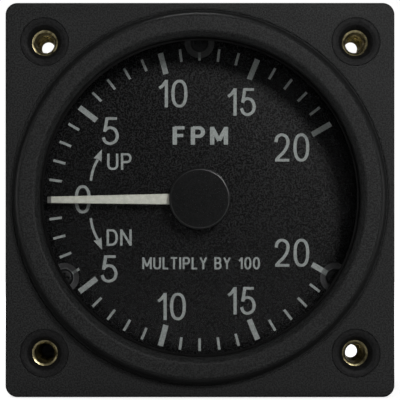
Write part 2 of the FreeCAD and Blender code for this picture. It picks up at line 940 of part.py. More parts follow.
def movement_rear_plate():
    """Rear plate with the two lugs that carry the rocking shaft."""
    body = new_body("movement_rear_plate")
    turning(
        body,
        ring_profile(0.0, rear_plate_radius, rear_plate_front, rear_plate_back),
    )
    lug_end = rocker_y + size.lug_half_width
    for side in (-1, 1):
        near = lug_inside * side
        far = (lug_inside + size.lug_thick) * side
        low, high = sorted((near, far), key=lambda place: place.value)
        outline = rectangle(
            rear_plate_back,
            lug_end,
            rocker_z - size.lug_half_width,
            rocker_z + size.lug_half_width,
        )
        side_slab(body, [outline], low, high)
        side_slab(
            body, [("circle", rocker_y, rocker_z, size.lug_screw_radius)], low, high, False
        )
    holes = [
        ("circle", 0.0, 0.0, size.bush_radius),
        ("circle", 0.0, sector_z, size.bush_radius),
    ]
    for x, z in PILLARS:
        holes.append(("circle", x, z, size.pillar_screw_radius + size.screw_gap))
    for angle in REAR_WINDOW_ANGLES:
        place = polar_point(size.plate_window_circle_radius, angle)
        holes.append(("circle", *place, size.plate_window_radius))
    holes.append(arm_slot())
    slab(body, holes, rear_plate_front, rear_plate_back, False)


def arm_slot():
    """Slot that the output arm of the rocker swings in."""
    across = size.arm_slot_half_width
    up = size.arm_slot_half_height
    x = size.tail_length
    return rectangle(x - across, x + across, rocker_z - up, rocker_z + up)


def capsule_bridge():
    """Spider plate on the long pillars, which holds the capsule's stem."""
    body = new_body("capsule_bridge")
    turning(
        body, ring_profile(0.0, rear_plate_radius, bridge_front, bridge_back)
    )
    holes = [("circle", 0.0, capsule_z, size.stem_radius)]
    for x, z in PILLARS:
        holes.append(("circle", x, z, size.pillar_screw_radius + size.screw_gap))
    for angle in BRIDGE_WINDOW_ANGLES:
        place = polar_point(size.bridge_window_circle_radius, angle)
        holes.append(("circle", *place, size.plate_window_radius))
    slab(body, holes, bridge_front, bridge_back, False)


def bridge_screws():
    """Slotted screws at the back of the bridge."""
    body = new_body("bridge_screws")
    for x, z in PILLARS:
        screw(
            body,
            (x, z),
            size.pillar_screw_head_radius,
            bridge_back + size.pillar_screw_head_thick,
            size.pillar_screw_head_thick,
            size.pillar_screw_radius,
            size.bridge_thick + size.pillar_thread_length,
        )


def bushes():
    """Bearing bushes of the pointer arbor and the sector arbor."""
    bore = size.pivot_radius + size.pivot_gap
    front = new_body("pointer_front_bush")
    turning(
        front,
        ring_profile(
            size.arbor_radius + size.pivot_gap,
            size.front_bush_radius,
            plate_front,
            plate_back + size.front_bush_boss,
        ),
    )
    for label, place, low, high in (
        ("sector_front_bush", sector_z, plate_front, plate_back),
        ("pointer_rear_bush", 0.0, rear_plate_front, rear_plate_back),
        ("sector_rear_bush", sector_z, rear_plate_front, rear_plate_back),
    ):
        bush = new_body(label)
        profile = ring_profile(bore, size.bush_radius, low, high)
        turning(bush, profile, True, (0.0, place))


# Gear train


def flank_angle(radius, teeth, base, pitch):
    """Half of the tooth's angle at a radius, for an involute flank."""
    alpha = math.radians(SIZES["pressure_angle"])
    slack = SIZES["tooth_backlash"] * SIZES["gear_module"] / (2 * pitch)
    turn = math.acos(min(1.0, base / radius))
    start = math.tan(alpha) - alpha
    return math.pi / (2 * teeth) - slack + start - (math.tan(turn) - turn)


def tooth_points(teeth, middle):
    """Points of one tooth about an angle, from its right root to its left."""
    pitch = SIZES["gear_module"] * teeth / 2
    base = pitch * math.cos(math.radians(SIZES["pressure_angle"]))
    root = pitch - SIZES["gear_module"] * SIZES["tooth_dedendum"]
    tip = pitch + SIZES["gear_module"] * SIZES["tooth_addendum"]
    low = max(root, base)
    radii = [low + (tip - low) * i / INVOLUTE_STEPS for i in range(INVOLUTE_STEPS + 1)]
    half = [(radius, flank_angle(radius, teeth, base, pitch)) for radius in radii]
    if root < base:
        half.insert(0, (root, half[0][1]))
    right = [(radius, middle - turn) for radius, turn in half]
    left = [(radius, middle + turn) for radius, turn in reversed(half)]
    return [
        FreeCAD.Vector(radius * math.cos(turn), 0, radius * math.sin(turn))
        for radius, turn in right + left
    ]


def face_of(points):
    return Part.Face(Part.makePolygon(points + points[:1]))


def add_shape(label, shape, place):
    """Sub-part from a computed shape, put at its place in the movement."""
    feature = doc.addObject("Part::Feature", label)
    feature.Label = label
    feature.Shape = shape
    feature.Placement = FreeCAD.Placement(place, FreeCAD.Rotation())
    nodes.append(feature)
    return feature


def drill(shape, radius, depth, x=0.0, z=0.0):
    axis = FreeCAD.Vector(0, 1, 0)
    tool = Part.makeCylinder(radius, depth * 3, FreeCAD.Vector(x, -depth, z), axis)
    return shape.cut(tool)


def sector_window():
    """Opening in the sector between its hub, its rim and its two spokes."""
    pitch = SIZES["gear_module"] * SIZES["sector_full_teeth"] / 2
    near = SIZES["sector_window_inner_radius"]
    far = pitch - SIZES["sector_rim_width"]
    half = math.radians(SIZES["sector_window_half_angle"])
    corners = []
    for radius, turn in ((near, -half), (far, -half), (far, half), (near, half)):
        angle = math.pi / 2 + turn
        corners.append(
            FreeCAD.Vector(radius * math.cos(angle), 0, radius * math.sin(angle))
        )
    far_arc = Part.Arc(corners[1], FreeCAD.Vector(0, 0, far), corners[2]).toShape()
    near_arc = Part.Arc(corners[3], FreeCAD.Vector(0, 0, near), corners[0]).toShape()
    sides = [
        Part.makeLine(corners[0], corners[1]),
        far_arc,
        Part.makeLine(corners[2], corners[3]),
        near_arc,
    ]
    return Part.Face(Part.Wire(sides))


def sector_gear():
    """Toothed sector: its middle tooth points at the pinion."""
    full = int(SIZES["sector_full_teeth"])
    count = int(SIZES["sector_teeth"])
    thick = SIZES["sector_thick"]
    points = []
    for i in range(count):
        turn = math.pi / 2 + (i - (count - 1) / 2) * 2 * math.pi / full
        points.extend(tooth_points(full, turn))
    heel = SIZES["sector_heel_half_width"]
    hub_radius = SIZES["sector_hub_radius"]
    points.extend([FreeCAD.Vector(-heel, 0, 0), FreeCAD.Vector(heel, 0, 0)])
    along = FreeCAD.Vector(0, thick, 0)
    blank = face_of(points).extrude(along)
    hub = Part.makeCylinder(hub_radius, thick, FreeCAD.Vector(0, 0, 0), along)
    blank = blank.fuse(hub).cut(sector_window().extrude(along)).removeSplitter()
    blank = drill(blank, SIZES["arbor_radius"], thick)
    place = FreeCAD.Vector(0, sector_front.value, sector_z.value)
    add_shape("sector_gear", blank, place)


def pointer_pinion():
    """Pinion with a gap towards the sector's middle tooth."""
    count = int(SIZES["pinion_teeth"])
    points = []
    for i in range(count):
        turn = -math.pi / 2 + (i + 0.5) * 2 * math.pi / count
        points.extend(tooth_points(count, turn))
    thick = (pinion_back - pinion_front).value
    shape = face_of(points).extrude(FreeCAD.Vector(0, thick, 0))
    shape = drill(shape, SIZES["arbor_radius"], thick)
    add_shape("pointer_pinion", shape, FreeCAD.Vector(0, pinion_front.value, 0))


def arbors():
    """Turned arbors of the pointer and of the sector."""
    pointer = new_body("pointer_arbor")
    shoulder = rear_plate_front - size.shoulder_gap
    end = rear_plate_back - size.contact_gap
    turning(
        pointer,
        [
            (0.0, pointer_front),
            (size.arbor_radius, pointer_front),
            (size.arbor_radius, shoulder),
            (size.pivot_radius, shoulder),
            (size.pivot_radius, end),
            (0.0, end),
        ],
    )
    sector = new_body("sector_arbor")
    start = plate_back + size.shoulder_gap
    turning(
        sector,
        [
            (0.0, plate_front + size.contact_gap),
            (size.pivot_radius, plate_front + size.contact_gap),
            (size.pivot_radius, start),
            (size.arbor_radius, start),
            (size.arbor_radius, shoulder),
            (size.pivot_radius, shoulder),
            (size.pivot_radius, end),
            (0.0, end),
        ],
        True,
        (0.0, sector_z),
    )


def sector_tail():
    """Hub on the sector arbor with the tail wire and its counterweight."""
    body = new_body("sector_tail")
    half = size.tail_collar_half_width
    collar = ring_profile(
        size.arbor_radius,
        size.rocker_collar_radius,
        tail_middle - half,
        tail_middle + half,
    )
    turning(body, collar, True, (0.0, sector_z))
    inner = (size.arbor_radius + size.rocker_collar_radius) / 2
    tip = size.tail_length + size.wire_overhang
    wire = rectangle(inner, tip, 0.0, size.wire_radius)
    cross_turning(body, wire, tail_middle, sector_z)
    reach = size.counterweight_arm_length
    neck = rectangle(-reach, -inner, 0.0, size.wire_radius)
    cross_turning(body, neck, tail_middle, sector_z)
    weight = rectangle(
        -reach - size.counterweight_length,
        -reach,
        0.0,
        size.counterweight_radius,
    )
    cross_turning(body, weight, tail_middle, sector_z)


# Pointer


def pointer_blade():
    """Tapered blade with bevelled edges, which points left at rest."""
    body = new_body("pointer_blade")
    root = size.pointer_root_width / 2
    tip = size.pointer_tip_width / 2
    reach = size.pointer_root_length
    outline = [
        (reach, -root),
        (-reach, -root),
        (-pointer_length, -tip),
        (-pointer_length, tip),
        (-reach, root),
        (reach, root),
    ]
    slab(body, [outline], pointer_front, pointer_back)
    slab(
        body,
        [("circle", 0.0, 0.0, size.arbor_radius)],
        pointer_front,
        pointer_back,
        False,
    )
    cut_tip_bevel(body)
    soften(body, "Chamfer", size.pointer_edge, is_blade_edge)
    turn = FreeCAD.Rotation(FreeCAD.Vector(0, 1, 0), 0)
    body.Placement = FreeCAD.Placement(FreeCAD.Vector(0, 0, 0), turn)
    body.setExpression("Placement.Rotation.Angle", "-%s * 1deg" % size.pointer_rest_drop.text)


def cut_tip_bevel(body):
    """Slope at the blade's end, from its face down to its back."""
    end = -pointer_length
    sketch = new_sketch(body, "XY_Plane", (0.0, 0.0, -size.pointer_root_width))
    draw_polygon(
        sketch,
        [
            (end, pointer_front),
            (end + size.pointer_bevel, pointer_front),
            (end, pointer_back - size.pointer_edge / 2),
        ],
    )
    feature = body.newObject("PartDesign::Pocket", "tip_bevel")
    feature.Profile = sketch
    feature.Length = (size.pointer_root_width * 2).value
    feature.setExpression("Length", (size.pointer_root_width * 2).text)
    feature.Reversed = True
    finish_feature(body, feature, False)


def is_blade_edge(edge):
    """Long front edges of the blade."""
    return lies_at(edge, pointer_front) and edge.Length > pointer_length.value / 2


def pointer_hub():
    """Round cap over the blade's root and the bush behind the blade."""
    cap = new_body("pointer_hub_cap")
    front = pointer_front - size.hub_thick
    turning(cap, ring_profile(0.0, size.hub_radius, front, pointer_front))
    soften(
        cap,
        "Fillet",
        size.hub_round,
        lambda edge: is_rim(edge, size.hub_radius, front),
    )
    bush = new_body("pointer_bush")
    end = pointer_back + size.pointer_bush_length
    profile = ring_profile(
        size.arbor_radius, size.pointer_bush_radius, pointer_back, end
    )
    turning(bush, profile)


def hairspring_collet():
    body = new_body("hairspring_collet")
    middle = spring_front + size.spring_height / 2
    half = size.collet_thick / 2
    turning(
        body,
        ring_profile(size.arbor_radius, size.collet_radius, middle - half, middle + half),
    )


def half_turn(number, shift):
    """Half circle of the spiral: odd and even ones have their own centre."""
    inner = SIZES["spring_inner_radius"]
    pitch = 2 * (SIZES["spring_outer_radius"] - inner) / HAIRSPRING_HALF_TURNS
    side = 1 if number % 2 == 0 else -1
    centre = -side * pitch / 4
    radius = inner + pitch / 4 + number * pitch / 2 + shift
    start = FreeCAD.Vector(centre + side * radius, 0, 0)
    middle = FreeCAD.Vector(centre, 0, side * radius)
    end = FreeCAD.Vector(centre - side * radius, 0, 0)
    return Part.Arc(start, middle, end).toShape(), start, end


def hairspring():
    """Flat spiral strip from the collet out to the regulator's stud."""
    half = SIZES["spring_strip"] / 2
    inner = [half_turn(number, -half) for number in range(HAIRSPRING_HALF_TURNS)]
    outer = [half_turn(number, half) for number in range(HAIRSPRING_HALF_TURNS)]
    sides = [arc for arc, start, end in inner + outer]
    sides.append(Part.makeLine(inner[0][1], outer[0][1]))
    sides.append(Part.makeLine(inner[-1][2], outer[-1][2]))
    face = Part.Face(Part.Wire(Part.__sortEdges__(sides)))
    shape = face.extrude(FreeCAD.Vector(0, SIZES["spring_height"], 0))
    add_shape("hairspring", shape, FreeCAD.Vector(0, spring_front.value, 0))


def hairspring_regulator():
    """Ring round the front bush, with the spring's stud and the lever pin."""
    body = new_body("hairspring_regulator")
    front = regulator_front
    back = regulator_back
    inner = size.front_bush_radius + size.regulator_gap
    outer = inner + size.regulator_ring
    turning(body, ring_profile(inner, outer, front, back))
    middle = (inner + outer) / 2
    half = size.regulator_arm_width / 2
    reach = size.regulator_pin_circle_radius
    slab(body, [along_diagonal(middle, reach + half, half)], front, back)
    pin = ("circle", *diagonal_point(reach), size.regulator_pin_radius)
    slab(body, [pin], back, lever_back)
    stud = size.spring_outer_radius + size.spring_strip / 2
    arm = rectangle(middle, stud + half * 2, -half, half)
    slab(body, [arm], front, back)
    post = rectangle(stud, stud + half * 2, -half, half)
    slab(body, [post], back, spring_back)


# Zero adjuster


def zero_adjust_screw():
    """Slotted screw with a seal groove, an eccentric and a rear journal."""
    body = new_body("zero_adjust_screw")
    at = diagonal_point(bolt_circle)
    head_front = size.flange_thick + size.driver_floor + size.screw_gap
    head_back = head_front + size.adjuster_head_thick
    groove_back = head_back + size.adjuster_groove_width
    collar_back = chamber_floor + size.contact_gap
    cam_back = plug_front - size.screw_gap * 2
    profile = [
        (0.0, head_front),
        (size.adjuster_radius, head_front),
        (size.adjuster_radius, head_back),
        (size.adjuster_groove_radius, head_back),
        (size.adjuster_groove_radius, groove_back),
        (size.adjuster_radius, groove_back),
        (size.adjuster_radius, collar_back),
        (size.adjuster_journal_radius, collar_back),
        (size.adjuster_journal_radius, journal_end),
        (0.0, journal_end),
    ]
    turning(body, profile, True, at)
    x, z = diagonal_point(bolt_circle - size.eccentric_offset)
    slab(body, [("circle", x, z, size.eccentric_radius)], collar_back, cam_back)
    half = size.adjuster_slot_width / 2
    reach = size.adjuster_radius
    slot = rectangle(at[0] - reach, at[0] + reach, at[1] - half, at[1] + half)
    slab(body, [slot], head_front, head_front + size.adjuster_slot_depth, False)
    seal = new_body("zero_adjust_seal")
    gap = size.screw_gap / 2
    turning(
        seal,
        ring_profile(
            size.adjuster_groove_radius,
            size.adjuster_bore_radius,
            head_back + gap,
            groove_back - gap,
        ),
        True,
        at,
    )


def zero_adjust_plug():
    """Threaded plug that closes the boss and carries the rear journal."""
    body = new_body("zero_adjust_plug")
    at = diagonal_point(bolt_circle)
    outer = size.adjuster_chamber_radius - size.plug_wall_gap
    bore = size.adjuster_journal_radius + size.pivot_gap
    bore_end = journal_end + size.screw_gap
    profile = [
        (bore, plug_front),
        (outer, plug_front),
        (outer, skirt_end),
        (0.0, skirt_end),
        (0.0, bore_end),
        (bore, bore_end),
    ]
    turning(body, profile, True, at)
    half = size.plug_slot_width / 2
    slot = rectangle(at[0] - outer, at[0] + outer, at[1] - half, at[1] + half)
    slab(body, [slot], skirt_end - size.plug_slot_width, skirt_end, False)


def zero_lever():
    """Two-ended lever: a fork round the eccentric and one for the pin."""
    body = new_body("zero_lever")
    front = lever_front
    back = lever_back
    cam_place = bolt_circle - size.eccentric_offset
    cam_half = size.eccentric_radius + size.fork_gap
    fork_half = cam_half + size.fork_wall
    pin_half = size.regulator_pin_radius + size.fork_gap
    inner_end = size.regulator_pin_circle_radius - size.regulator_pin_radius
    shank = along_diagonal(inner_end, cam_place, size.lever_half_width)
    slab(body, [shank], front, back)
    fork = along_diagonal(
        cam_place - fork_half, cam_place + size.eccentric_radius / 2, fork_half
    )
    slab(body, [fork], front, back)
    hub = ("circle", *diagonal_point(lever_stud_reach), size.lever_hub_radius)
    slab(body, [hub], front, back)
    bore = (
        "circle",
        *diagonal_point(lever_stud_reach),
        size.lever_journal_radius + size.pivot_gap,
    )
    cam_slot = along_diagonal(
        cam_place - cam_half, cam_place + size.eccentric_radius, cam_half
    )
    pin_slot = along_diagonal(
        inner_end - size.fork_gap,
        size.regulator_pin_circle_radius + pin_half,
        pin_half,
    )
    slab(body, [bore], front, back, False)
    slab(body, [cam_slot], front, back, False)
    slab(body, [pin_slot], front, back, False)


def zero_lever_stud():
    """Shouldered stud on the mounting plate that the lever turns on."""
    body = new_body("zero_lever_stud")
    gap = size.contact_gap
    profile = [
        (0.0, plate_front),
        (size.lever_journal_radius, plate_front),
        (size.lever_journal_radius, plate_back),
        (size.lever_stud_radius, plate_back),
        (size.lever_stud_radius, lever_front - gap),
        (size.lever_journal_radius, lever_front - gap),
        (size.lever_journal_radius, lever_back + gap),
        (size.lever_stud_radius, lever_back + gap),
        (size.lever_stud_radius, lever_back + gap + size.bush_rim),
        (0.0, lever_back + gap + size.bush_rim),
    ]
    turning(body, profile, True, diagonal_point(lever_stud_reach))


# Rocker


def rocking_shaft():
    """Cross shaft with a socket in each end for the pivot screws."""
    body = new_body("rocking_shaft")
    end = size.rocker_half_length
    socket = end - size.rocker_socket_depth
    bore = size.rocker_pivot_radius + size.pivot_gap
    profile = [
        (-socket, 0.0),
        (-socket, bore),
        (-end, bore),
        (-end, size.rocker_radius),
        (end, size.rocker_radius),
        (end, bore),
        (socket, bore),
        (socket, 0.0),
    ]
    cross_turning(body, profile, rocker_y, rocker_z)


def rocker_pivot_screws():
    """Pivot screws through the lugs, with their lock nuts outside."""
    screws = new_body("rocker_pivot_screws")
    nuts = new_body("rocker_lock_nuts")
    lug_outside = lug_inside + size.lug_thick
    tip = size.rocker_half_length - size.rocker_socket_depth + size.rocker_end_gap
    for side in (-1, 1):
        profile = [
            (tip * side, 0.0),
            (tip * side, size.rocker_pivot_radius),
            (lug_inside * side, size.rocker_pivot_radius),
            (lug_inside * side, size.lug_screw_radius),
            ((lug_inside + size.lug_screw_length) * side, size.lug_screw_radius),
            ((lug_inside + size.lug_screw_length) * side, 0.0),
        ]
        cross_turning(screws, profile, rocker_y, rocker_z)
        near = lug_outside * side
        far = (lug_outside + size.lug_nut_thick) * side
        low, high = sorted((near, far), key=lambda place: place.value)
        outline = hexagon(rocker_y, rocker_z, size.lug_nut_width)
        side_slab(nuts, [outline], low, high)
        bore = ("circle", rocker_y, rocker_z, size.lug_screw_radius)
        side_slab(nuts, [bore], low, high, False)


def rocker_collar(body, middle):
    """Collar of an arm, round the cross shaft."""
    half = size.rocker_collar_width / 2
    profile = rectangle(
        middle - half, middle + half, size.rocker_radius, size.rocker_collar_radius
    )
    cross_turning(body, profile, rocker_y, rocker_z)


def rocker_input_arm():
    """Upright arm whose cross pin is driven by the capsule's yoke."""
    body = new_body("rocker_input_arm")
    rocker_collar(body, as_size(0.0))
    half = size.arm_thick / 2
    inner = (size.rocker_radius + size.rocker_collar_radius) / 2
    blade = rectangle(
        rocker_y - half,
        rocker_y + half,
        rocker_z + inner,
        capsule_z + size.input_arm_overhang,
    )
    side_slab(body, [blade], -half, half)
    pin = size.input_pin_half_length
    cross_turning(
        body, rectangle(-pin, pin, 0.0, size.input_pin_radius), rocker_y, capsule_z
    )


def rocker_output_arm():
    """Arm wire that reaches forward, over the sector's tail."""
    body = new_body("rocker_output_arm")
    rocker_collar(body, size.tail_length)
    inner = (size.rocker_radius + size.rocker_collar_radius) / 2
    front = tail_middle - size.wire_overhang
    wire = ("circle", size.tail_length, rocker_z, size.wire_radius)
    slab(body, [wire], front, rocker_y - inner)


# Capsule


def capsule_front_line(direction):
    """Corrugated outline, from the centre boss out to the flat rim."""
    rim = capsule_radius - size.capsule_rim_width
    span = rim - size.capsule_boss_radius
    steps = CAPSULE_WAVES * 2
    points = [(size.stud_radius, -size.capsule_dome * direction)]
    points.append((size.capsule_boss_radius, -size.capsule_dome * direction))
    for i in range(1, steps):
        wave = size.capsule_wave / (2 if i % 2 else -2)
        slope = size.capsule_dome * (1 - i / steps) + wave
        points.append((size.capsule_boss_radius + span * i / steps, -slope * direction))
    points.append((rim, as_size(0.0)))
    points.append((capsule_radius, as_size(0.0)))
    return points


def capsule_halves():
    """Two corrugated discs, joined face to face at their flat rims."""
    for label, direction in (("capsule_front_disc", 1), ("capsule_rear_disc", -1)):
        body = new_body(label)
        outside = size.capsule_skin * (-direction)
        line = [(r, y + capsule_rim) for r, y in capsule_front_line(direction)]
        raised = [(r, y + outside) for r, y in reversed(line)]
        turning(body, line + raised, True, (0.0, capsule_z))


def capsule_stud():
    """Stud in the centre of the front disc, with its inner flange."""
    body = new_body("capsule_stud")
    back = stud_back + size.capsule_skin + size.stud_head_thick
    profile = [
        (0.0, stud_front),
        (size.stud_head_radius, stud_front),
        (size.stud_head_radius, stud_back),
        (size.stud_radius, stud_back),
        (size.stud_radius, back),
        (0.0, back),
    ]
    turning(body, profile, True, (0.0, capsule_z))


def capsule_link():
    """Rod from the stud, with a slotted yoke round the input arm's pin."""
    body = new_body("capsule_link")
    inside = size.arm_thick / 2 + size.yoke_gap
    outside = inside + size.yoke_cheek
    cheek_front = rocker_y - size.yoke_front_length
    low = capsule_z - size.yoke_half_height
    high = capsule_z + size.yoke_half_height
    block = rectangle(cheek_front, link_front, low, high)
    side_slab(body, [block], -outside, outside)
    side_slab(
        body,
        [rectangle(cheek_front, yoke_back, low, high)],
        -inside,
        inside,
        False,
    )
    play = size.input_pin_radius + size.yoke_slot_play
    rise = play + size.yoke_slot_rise
    slot = rectangle(rocker_y - play, rocker_y + play, capsule_z - rise, capsule_z + rise)
    side_slab(body, [slot], -outside, outside, False)
    slab(body, [("circle", 0.0, capsule_z, size.link_radius)], link_front, stud_front)


def capsule_stem():
    """Hollow threaded stem that carries the capsule on the bridge."""
    body = new_body("capsule_stem")
    inner = capsule_rim + size.capsule_dome
    end = manifold_front + size.stem_engagement_length
    profile = [
        (size.nipple_bore_radius, inner),
        (size.stud_radius, inner),
        (size.stud_radius, stem_front),
        (size.stem_shoulder_radius, stem_front),
        (size.stem_shoulder_radius, bridge_front),
        (size.stem_radius, bridge_front),
        (size.stem_radius, end),
        (size.nipple_bore_radius, end),
    ]
    turning(body, profile, True, (0.0, capsule_z))
    nut = new_body("capsule_nut")
    nut_back = bridge_back + size.stem_nut_thick
    outline = hexagon(0.0, capsule_z, size.stem_nut_width)
    bore = ("circle", 0.0, capsule_z, size.stem_radius)
    slab(nut, [outline, bore], bridge_back, nut_back)


def manifold():
    """Block on the stem with a nipple to the rear and the metering unit."""
    body = new_body("manifold_block")
    half = size.manifold_width / 2
    tall = size.manifold_height / 2
    outline = rectangle(-half, half, capsule_z - tall, capsule_z + tall)
    slab(body, [outline], manifold_front, manifold_back)
    at = (0.0, capsule_z)
    nipple = ring_profile(0.0, size.nipple_radius, manifold_back, manifold_nipple_end)
    turning(body, nipple, True, at)
    stem_end = manifold_front + size.stem_engagement_length
    bore = [
        (0.0, manifold_front),
        (size.stem_radius, manifold_front),
        (size.stem_radius, stem_end),
        (size.nipple_bore_radius, stem_end),
        (size.nipple_bore_radius, manifold_nipple_end),
        (0.0, manifold_nipple_end),
    ]
    turning(body, bore, False, at)
    middle = manifold_front + size.metering_depth
    thread_start = half - size.metering_thread_length
    socket = [
        (0.0, 0.0),
        (0.0, size.metering_bore_radius),
        (thread_start, size.metering_bore_radius),
        (thread_start, size.metering_thread_radius),
        (half, size.metering_thread_radius),
        (half, 0.0),
    ]
    cross_turning(body, socket, middle, capsule_z, False)
    metering_unit(middle, thread_start, half)


def metering_unit(middle, thread_start, face):
    """Calibrated leak between the static line and the case."""
    body = new_body("metering_unit")
    end = face + size.metering_length
    bore = size.metering_bore_radius
    cap = size.metering_cap_radius
    profile = [
        (thread_start, bore),
        (thread_start, size.metering_thread_radius),
        (face, size.metering_thread_radius),
        (face, size.metering_radius),
        (end, size.metering_radius),
        (end, cap),
        (end + cap, cap),
        (end + cap, bore),
    ]
    cross_turning(body, profile, middle, capsule_z)


def static_hose():
    """Short rubber hose between the manifold and the static port."""
    body = new_body("static_hose")
    outer = size.nipple_radius + size.hose_wall
    start = manifold_nipple_end - size.hose_overlap
    end = port_nipple_front + size.hose_overlap
    profile = ring_profile(size.nipple_radius, outer, start, end)
    turning(body, profile, True, (0.0, capsule_z))


# Rear of the case


def case_barrel():
    """Turned barrel whose spigot fits the skirt and clamps the plate."""
    body = new_body("case_barrel")
    inner = spigot_bore_radius
    step = skirt_end + size.spigot_inner_length
    outline = [
        (inner, plate_back),
        (spigot_radius, plate_back),
        (spigot_radius, skirt_end),
        (skirt_outer_radius, skirt_end),
        (skirt_outer_radius, cover_front),
        (barrel_bore_radius, cover_front),
        (barrel_bore_radius, step),
        (inner, step),
    ]
    turning(body, outline)
    bosses = []
    sockets = []
    for angle in COVER_SCREW_ANGLES:
        place = polar_point(cover_boss_circle, angle)
        bosses.append(("circle", *place, size.cover_boss_radius))
        sockets.append(("circle", *place, size.cover_screw_radius))
    web_front = cover_front - size.cover_boss_length
    slab(body, bosses, web_front, pilot_front)
    for angle in COVER_SCREW_ANGLES:
        add_boss_web(body, angle, web_front)
    slab(body, sockets, web_front, pilot_front, False)
    groove = ring_profile(
        skirt_bore_radius - size.seal_thick,
        skirt_bore_radius,
        seal_middle - size.seal_groove_width / 2,
        seal_middle + size.seal_groove_width / 2,
    )
    turning(body, groove, False)
    for angle in CASE_SCREW_ANGLES:
        hole = rectangle(inner / 2, skirt_bore_radius, 0.0, size.case_screw_radius)
        radial_turning(body, hole, case_screw_middle, angle, False)
    window = along_diagonal(
        inner - size.spigot_wall, skirt_bore_radius, size.lever_window_half_width
    )
    slab(body, [window], plate_back, plug_front, False)
    rim = skirt_outer_radius
    soften(
        body,
        "Fillet",
        size.skirt_round,
        lambda edge: is_rim(edge, rim, cover_front) or is_rim(edge, rim, skirt_end),
    )


def add_boss_web(body, angle, front):
    """Rib that joins one cover boss to the barrel's wall."""
    turn = math.radians(angle)
    half = size.cover_boss_radius
    near = cover_boss_circle
    far = barrel_bore_radius + size.barrel_wall / 2
    outline = []
    for reach, side in ((near, -1), (far, -1), (far, 1), (near, 1)):
        outline.append(
            (
                reach * math.cos(turn) - half * side * math.sin(turn),
                reach * math.sin(turn) + half * side * math.cos(turn),
            )
        )
    slab(body, [outline], front, pilot_front)


def case_seal():
    """Rubber ring in the spigot's groove."""
    feature = doc.addObject("Part::Torus", "case_seal")
    feature.Label = "case_seal"
    minor = size.seal_thick / 2 - size.seal_squeeze / 2
    feature.setExpression("Radius1", (skirt_bore_radius - size.seal_thick / 2).text)
    feature.setExpression("Radius2", minor.text)
    turn = FreeCAD.Rotation(FreeCAD.Vector(1, 0, 0), 90)
    feature.Placement = FreeCAD.Placement(FreeCAD.Vector(0, 0, 0), turn)
    feature.setExpression("Placement.Base.y", seal_middle.text)
    nodes.append(feature)


def case_screws():
    """Three pan head screws through the skirt into the spigot."""
    body = new_body("case_screws")
    head = skirt_outer_radius + size.case_screw_head_thick
    inner = spigot_bore_radius
    for angle in CASE_SCREW_ANGLES:
        profile = [
            (inner, 0.0),
            (inner, size.case_screw_radius),
            (skirt_outer_radius, size.case_screw_radius),
            (skirt_outer_radius, size.case_screw_head_radius),
            (head - size.skirt_round, size.case_screw_head_radius),
            (head, size.case_screw_face_radius),
            (head, 0.0),
        ]
        radial_turning(body, profile, case_screw_middle, angle)


def rear_cover():
    """Round cover with a pilot in the barrel and a stepped rim."""
    body = new_body("rear_cover")
    pilot = barrel_bore_radius - size.cover_pilot_gap
    edge = size.cover_rim_drop
    profile = [
        (0.0, pilot_front),
        (pilot, pilot_front),
        (pilot, cover_front),
        (skirt_outer_radius, cover_front),
        (skirt_outer_radius, cover_back - edge),
        (skirt_outer_radius - edge, cover_back),
        (0.0, cover_back),
    ]
    turning(body, profile)
    groove = ring_profile(
        pilot - size.cover_seal_thick,
        pilot,
        cover_front - size.cover_seal_inset - size.seal_groove_width / 2,
        cover_front - size.cover_seal_inset + size.seal_groove_width / 2,
    )
    turning(body, groove, False)
    holes = [("circle", 0.0, capsule_z, size.port_shank_radius)]
    for angle in COVER_SCREW_ANGLES:
        place = polar_point(cover_boss_circle, angle)
        holes.append(("circle", *place, size.cover_screw_radius + size.screw_gap))
    slab(body, holes, pilot_front, cover_back, False)


def rear_cover_seal():
    """Rubber ring in the groove of the cover's pilot."""
    feature = doc.addObject("Part::Torus", "rear_cover_seal")
    feature.Label = "rear_cover_seal"
    minor = size.cover_seal_thick / 2
    major = barrel_bore_radius - size.cover_pilot_gap - minor
    feature.setExpression("Radius1", major.text)
    feature.setExpression("Radius2", minor.text)
    turn = FreeCAD.Rotation(FreeCAD.Vector(1, 0, 0), 90)
    feature.Placement = FreeCAD.Placement(FreeCAD.Vector(0, 0, 0), turn)
    feature.setExpression("Placement.Base.y", (cover_front - size.cover_seal_inset).text)
    nodes.append(feature)


def rear_cover_screws():
    """Four slotted screws in the bosses of the barrel."""
    body = new_body("rear_cover_screws")
    for angle in COVER_SCREW_ANGLES:
        screw(
            body,
            polar_point(cover_boss_circle, angle),
            size.cover_screw_head_radius,
            cover_back + size.cover_screw_head_thick,
            size.cover_screw_head_thick,
            size.cover_screw_radius,
            size.cover_screw_length,
        )


def static_port_fitting():
    """Hexagonal fitting with a threaded port behind and a nipple in front."""
    body = new_body("static_port_fitting")
    at = (0.0, capsule_z)
    hex_outline = hexagon(0.0, capsule_z, size.port_hex_width)
    slab(body, [hex_outline], cover_back, port_end)
    shank = ring_profile(0.0, size.port_shank_radius, port_shank_front, cover_back)
    turning(body, shank, True, at)
    nipple = ring_profile(0.0, size.nipple_radius, port_nipple_front, port_shank_front)
    turning(body, nipple, True, at)
    bottom = port_end - size.port_bore_depth
    bore = [
        (0.0, port_nipple_front),
        (size.nipple_bore_radius, port_nipple_front),
        (size.nipple_bore_radius, bottom),
        (size.port_bore_radius, bottom),
        (size.port_bore_radius, port_end - size.port_lead),
        (size.port_bore_radius + size.port_lead, port_end),
        (0.0, port_end),
    ]
    turning(body, bore, False, at)


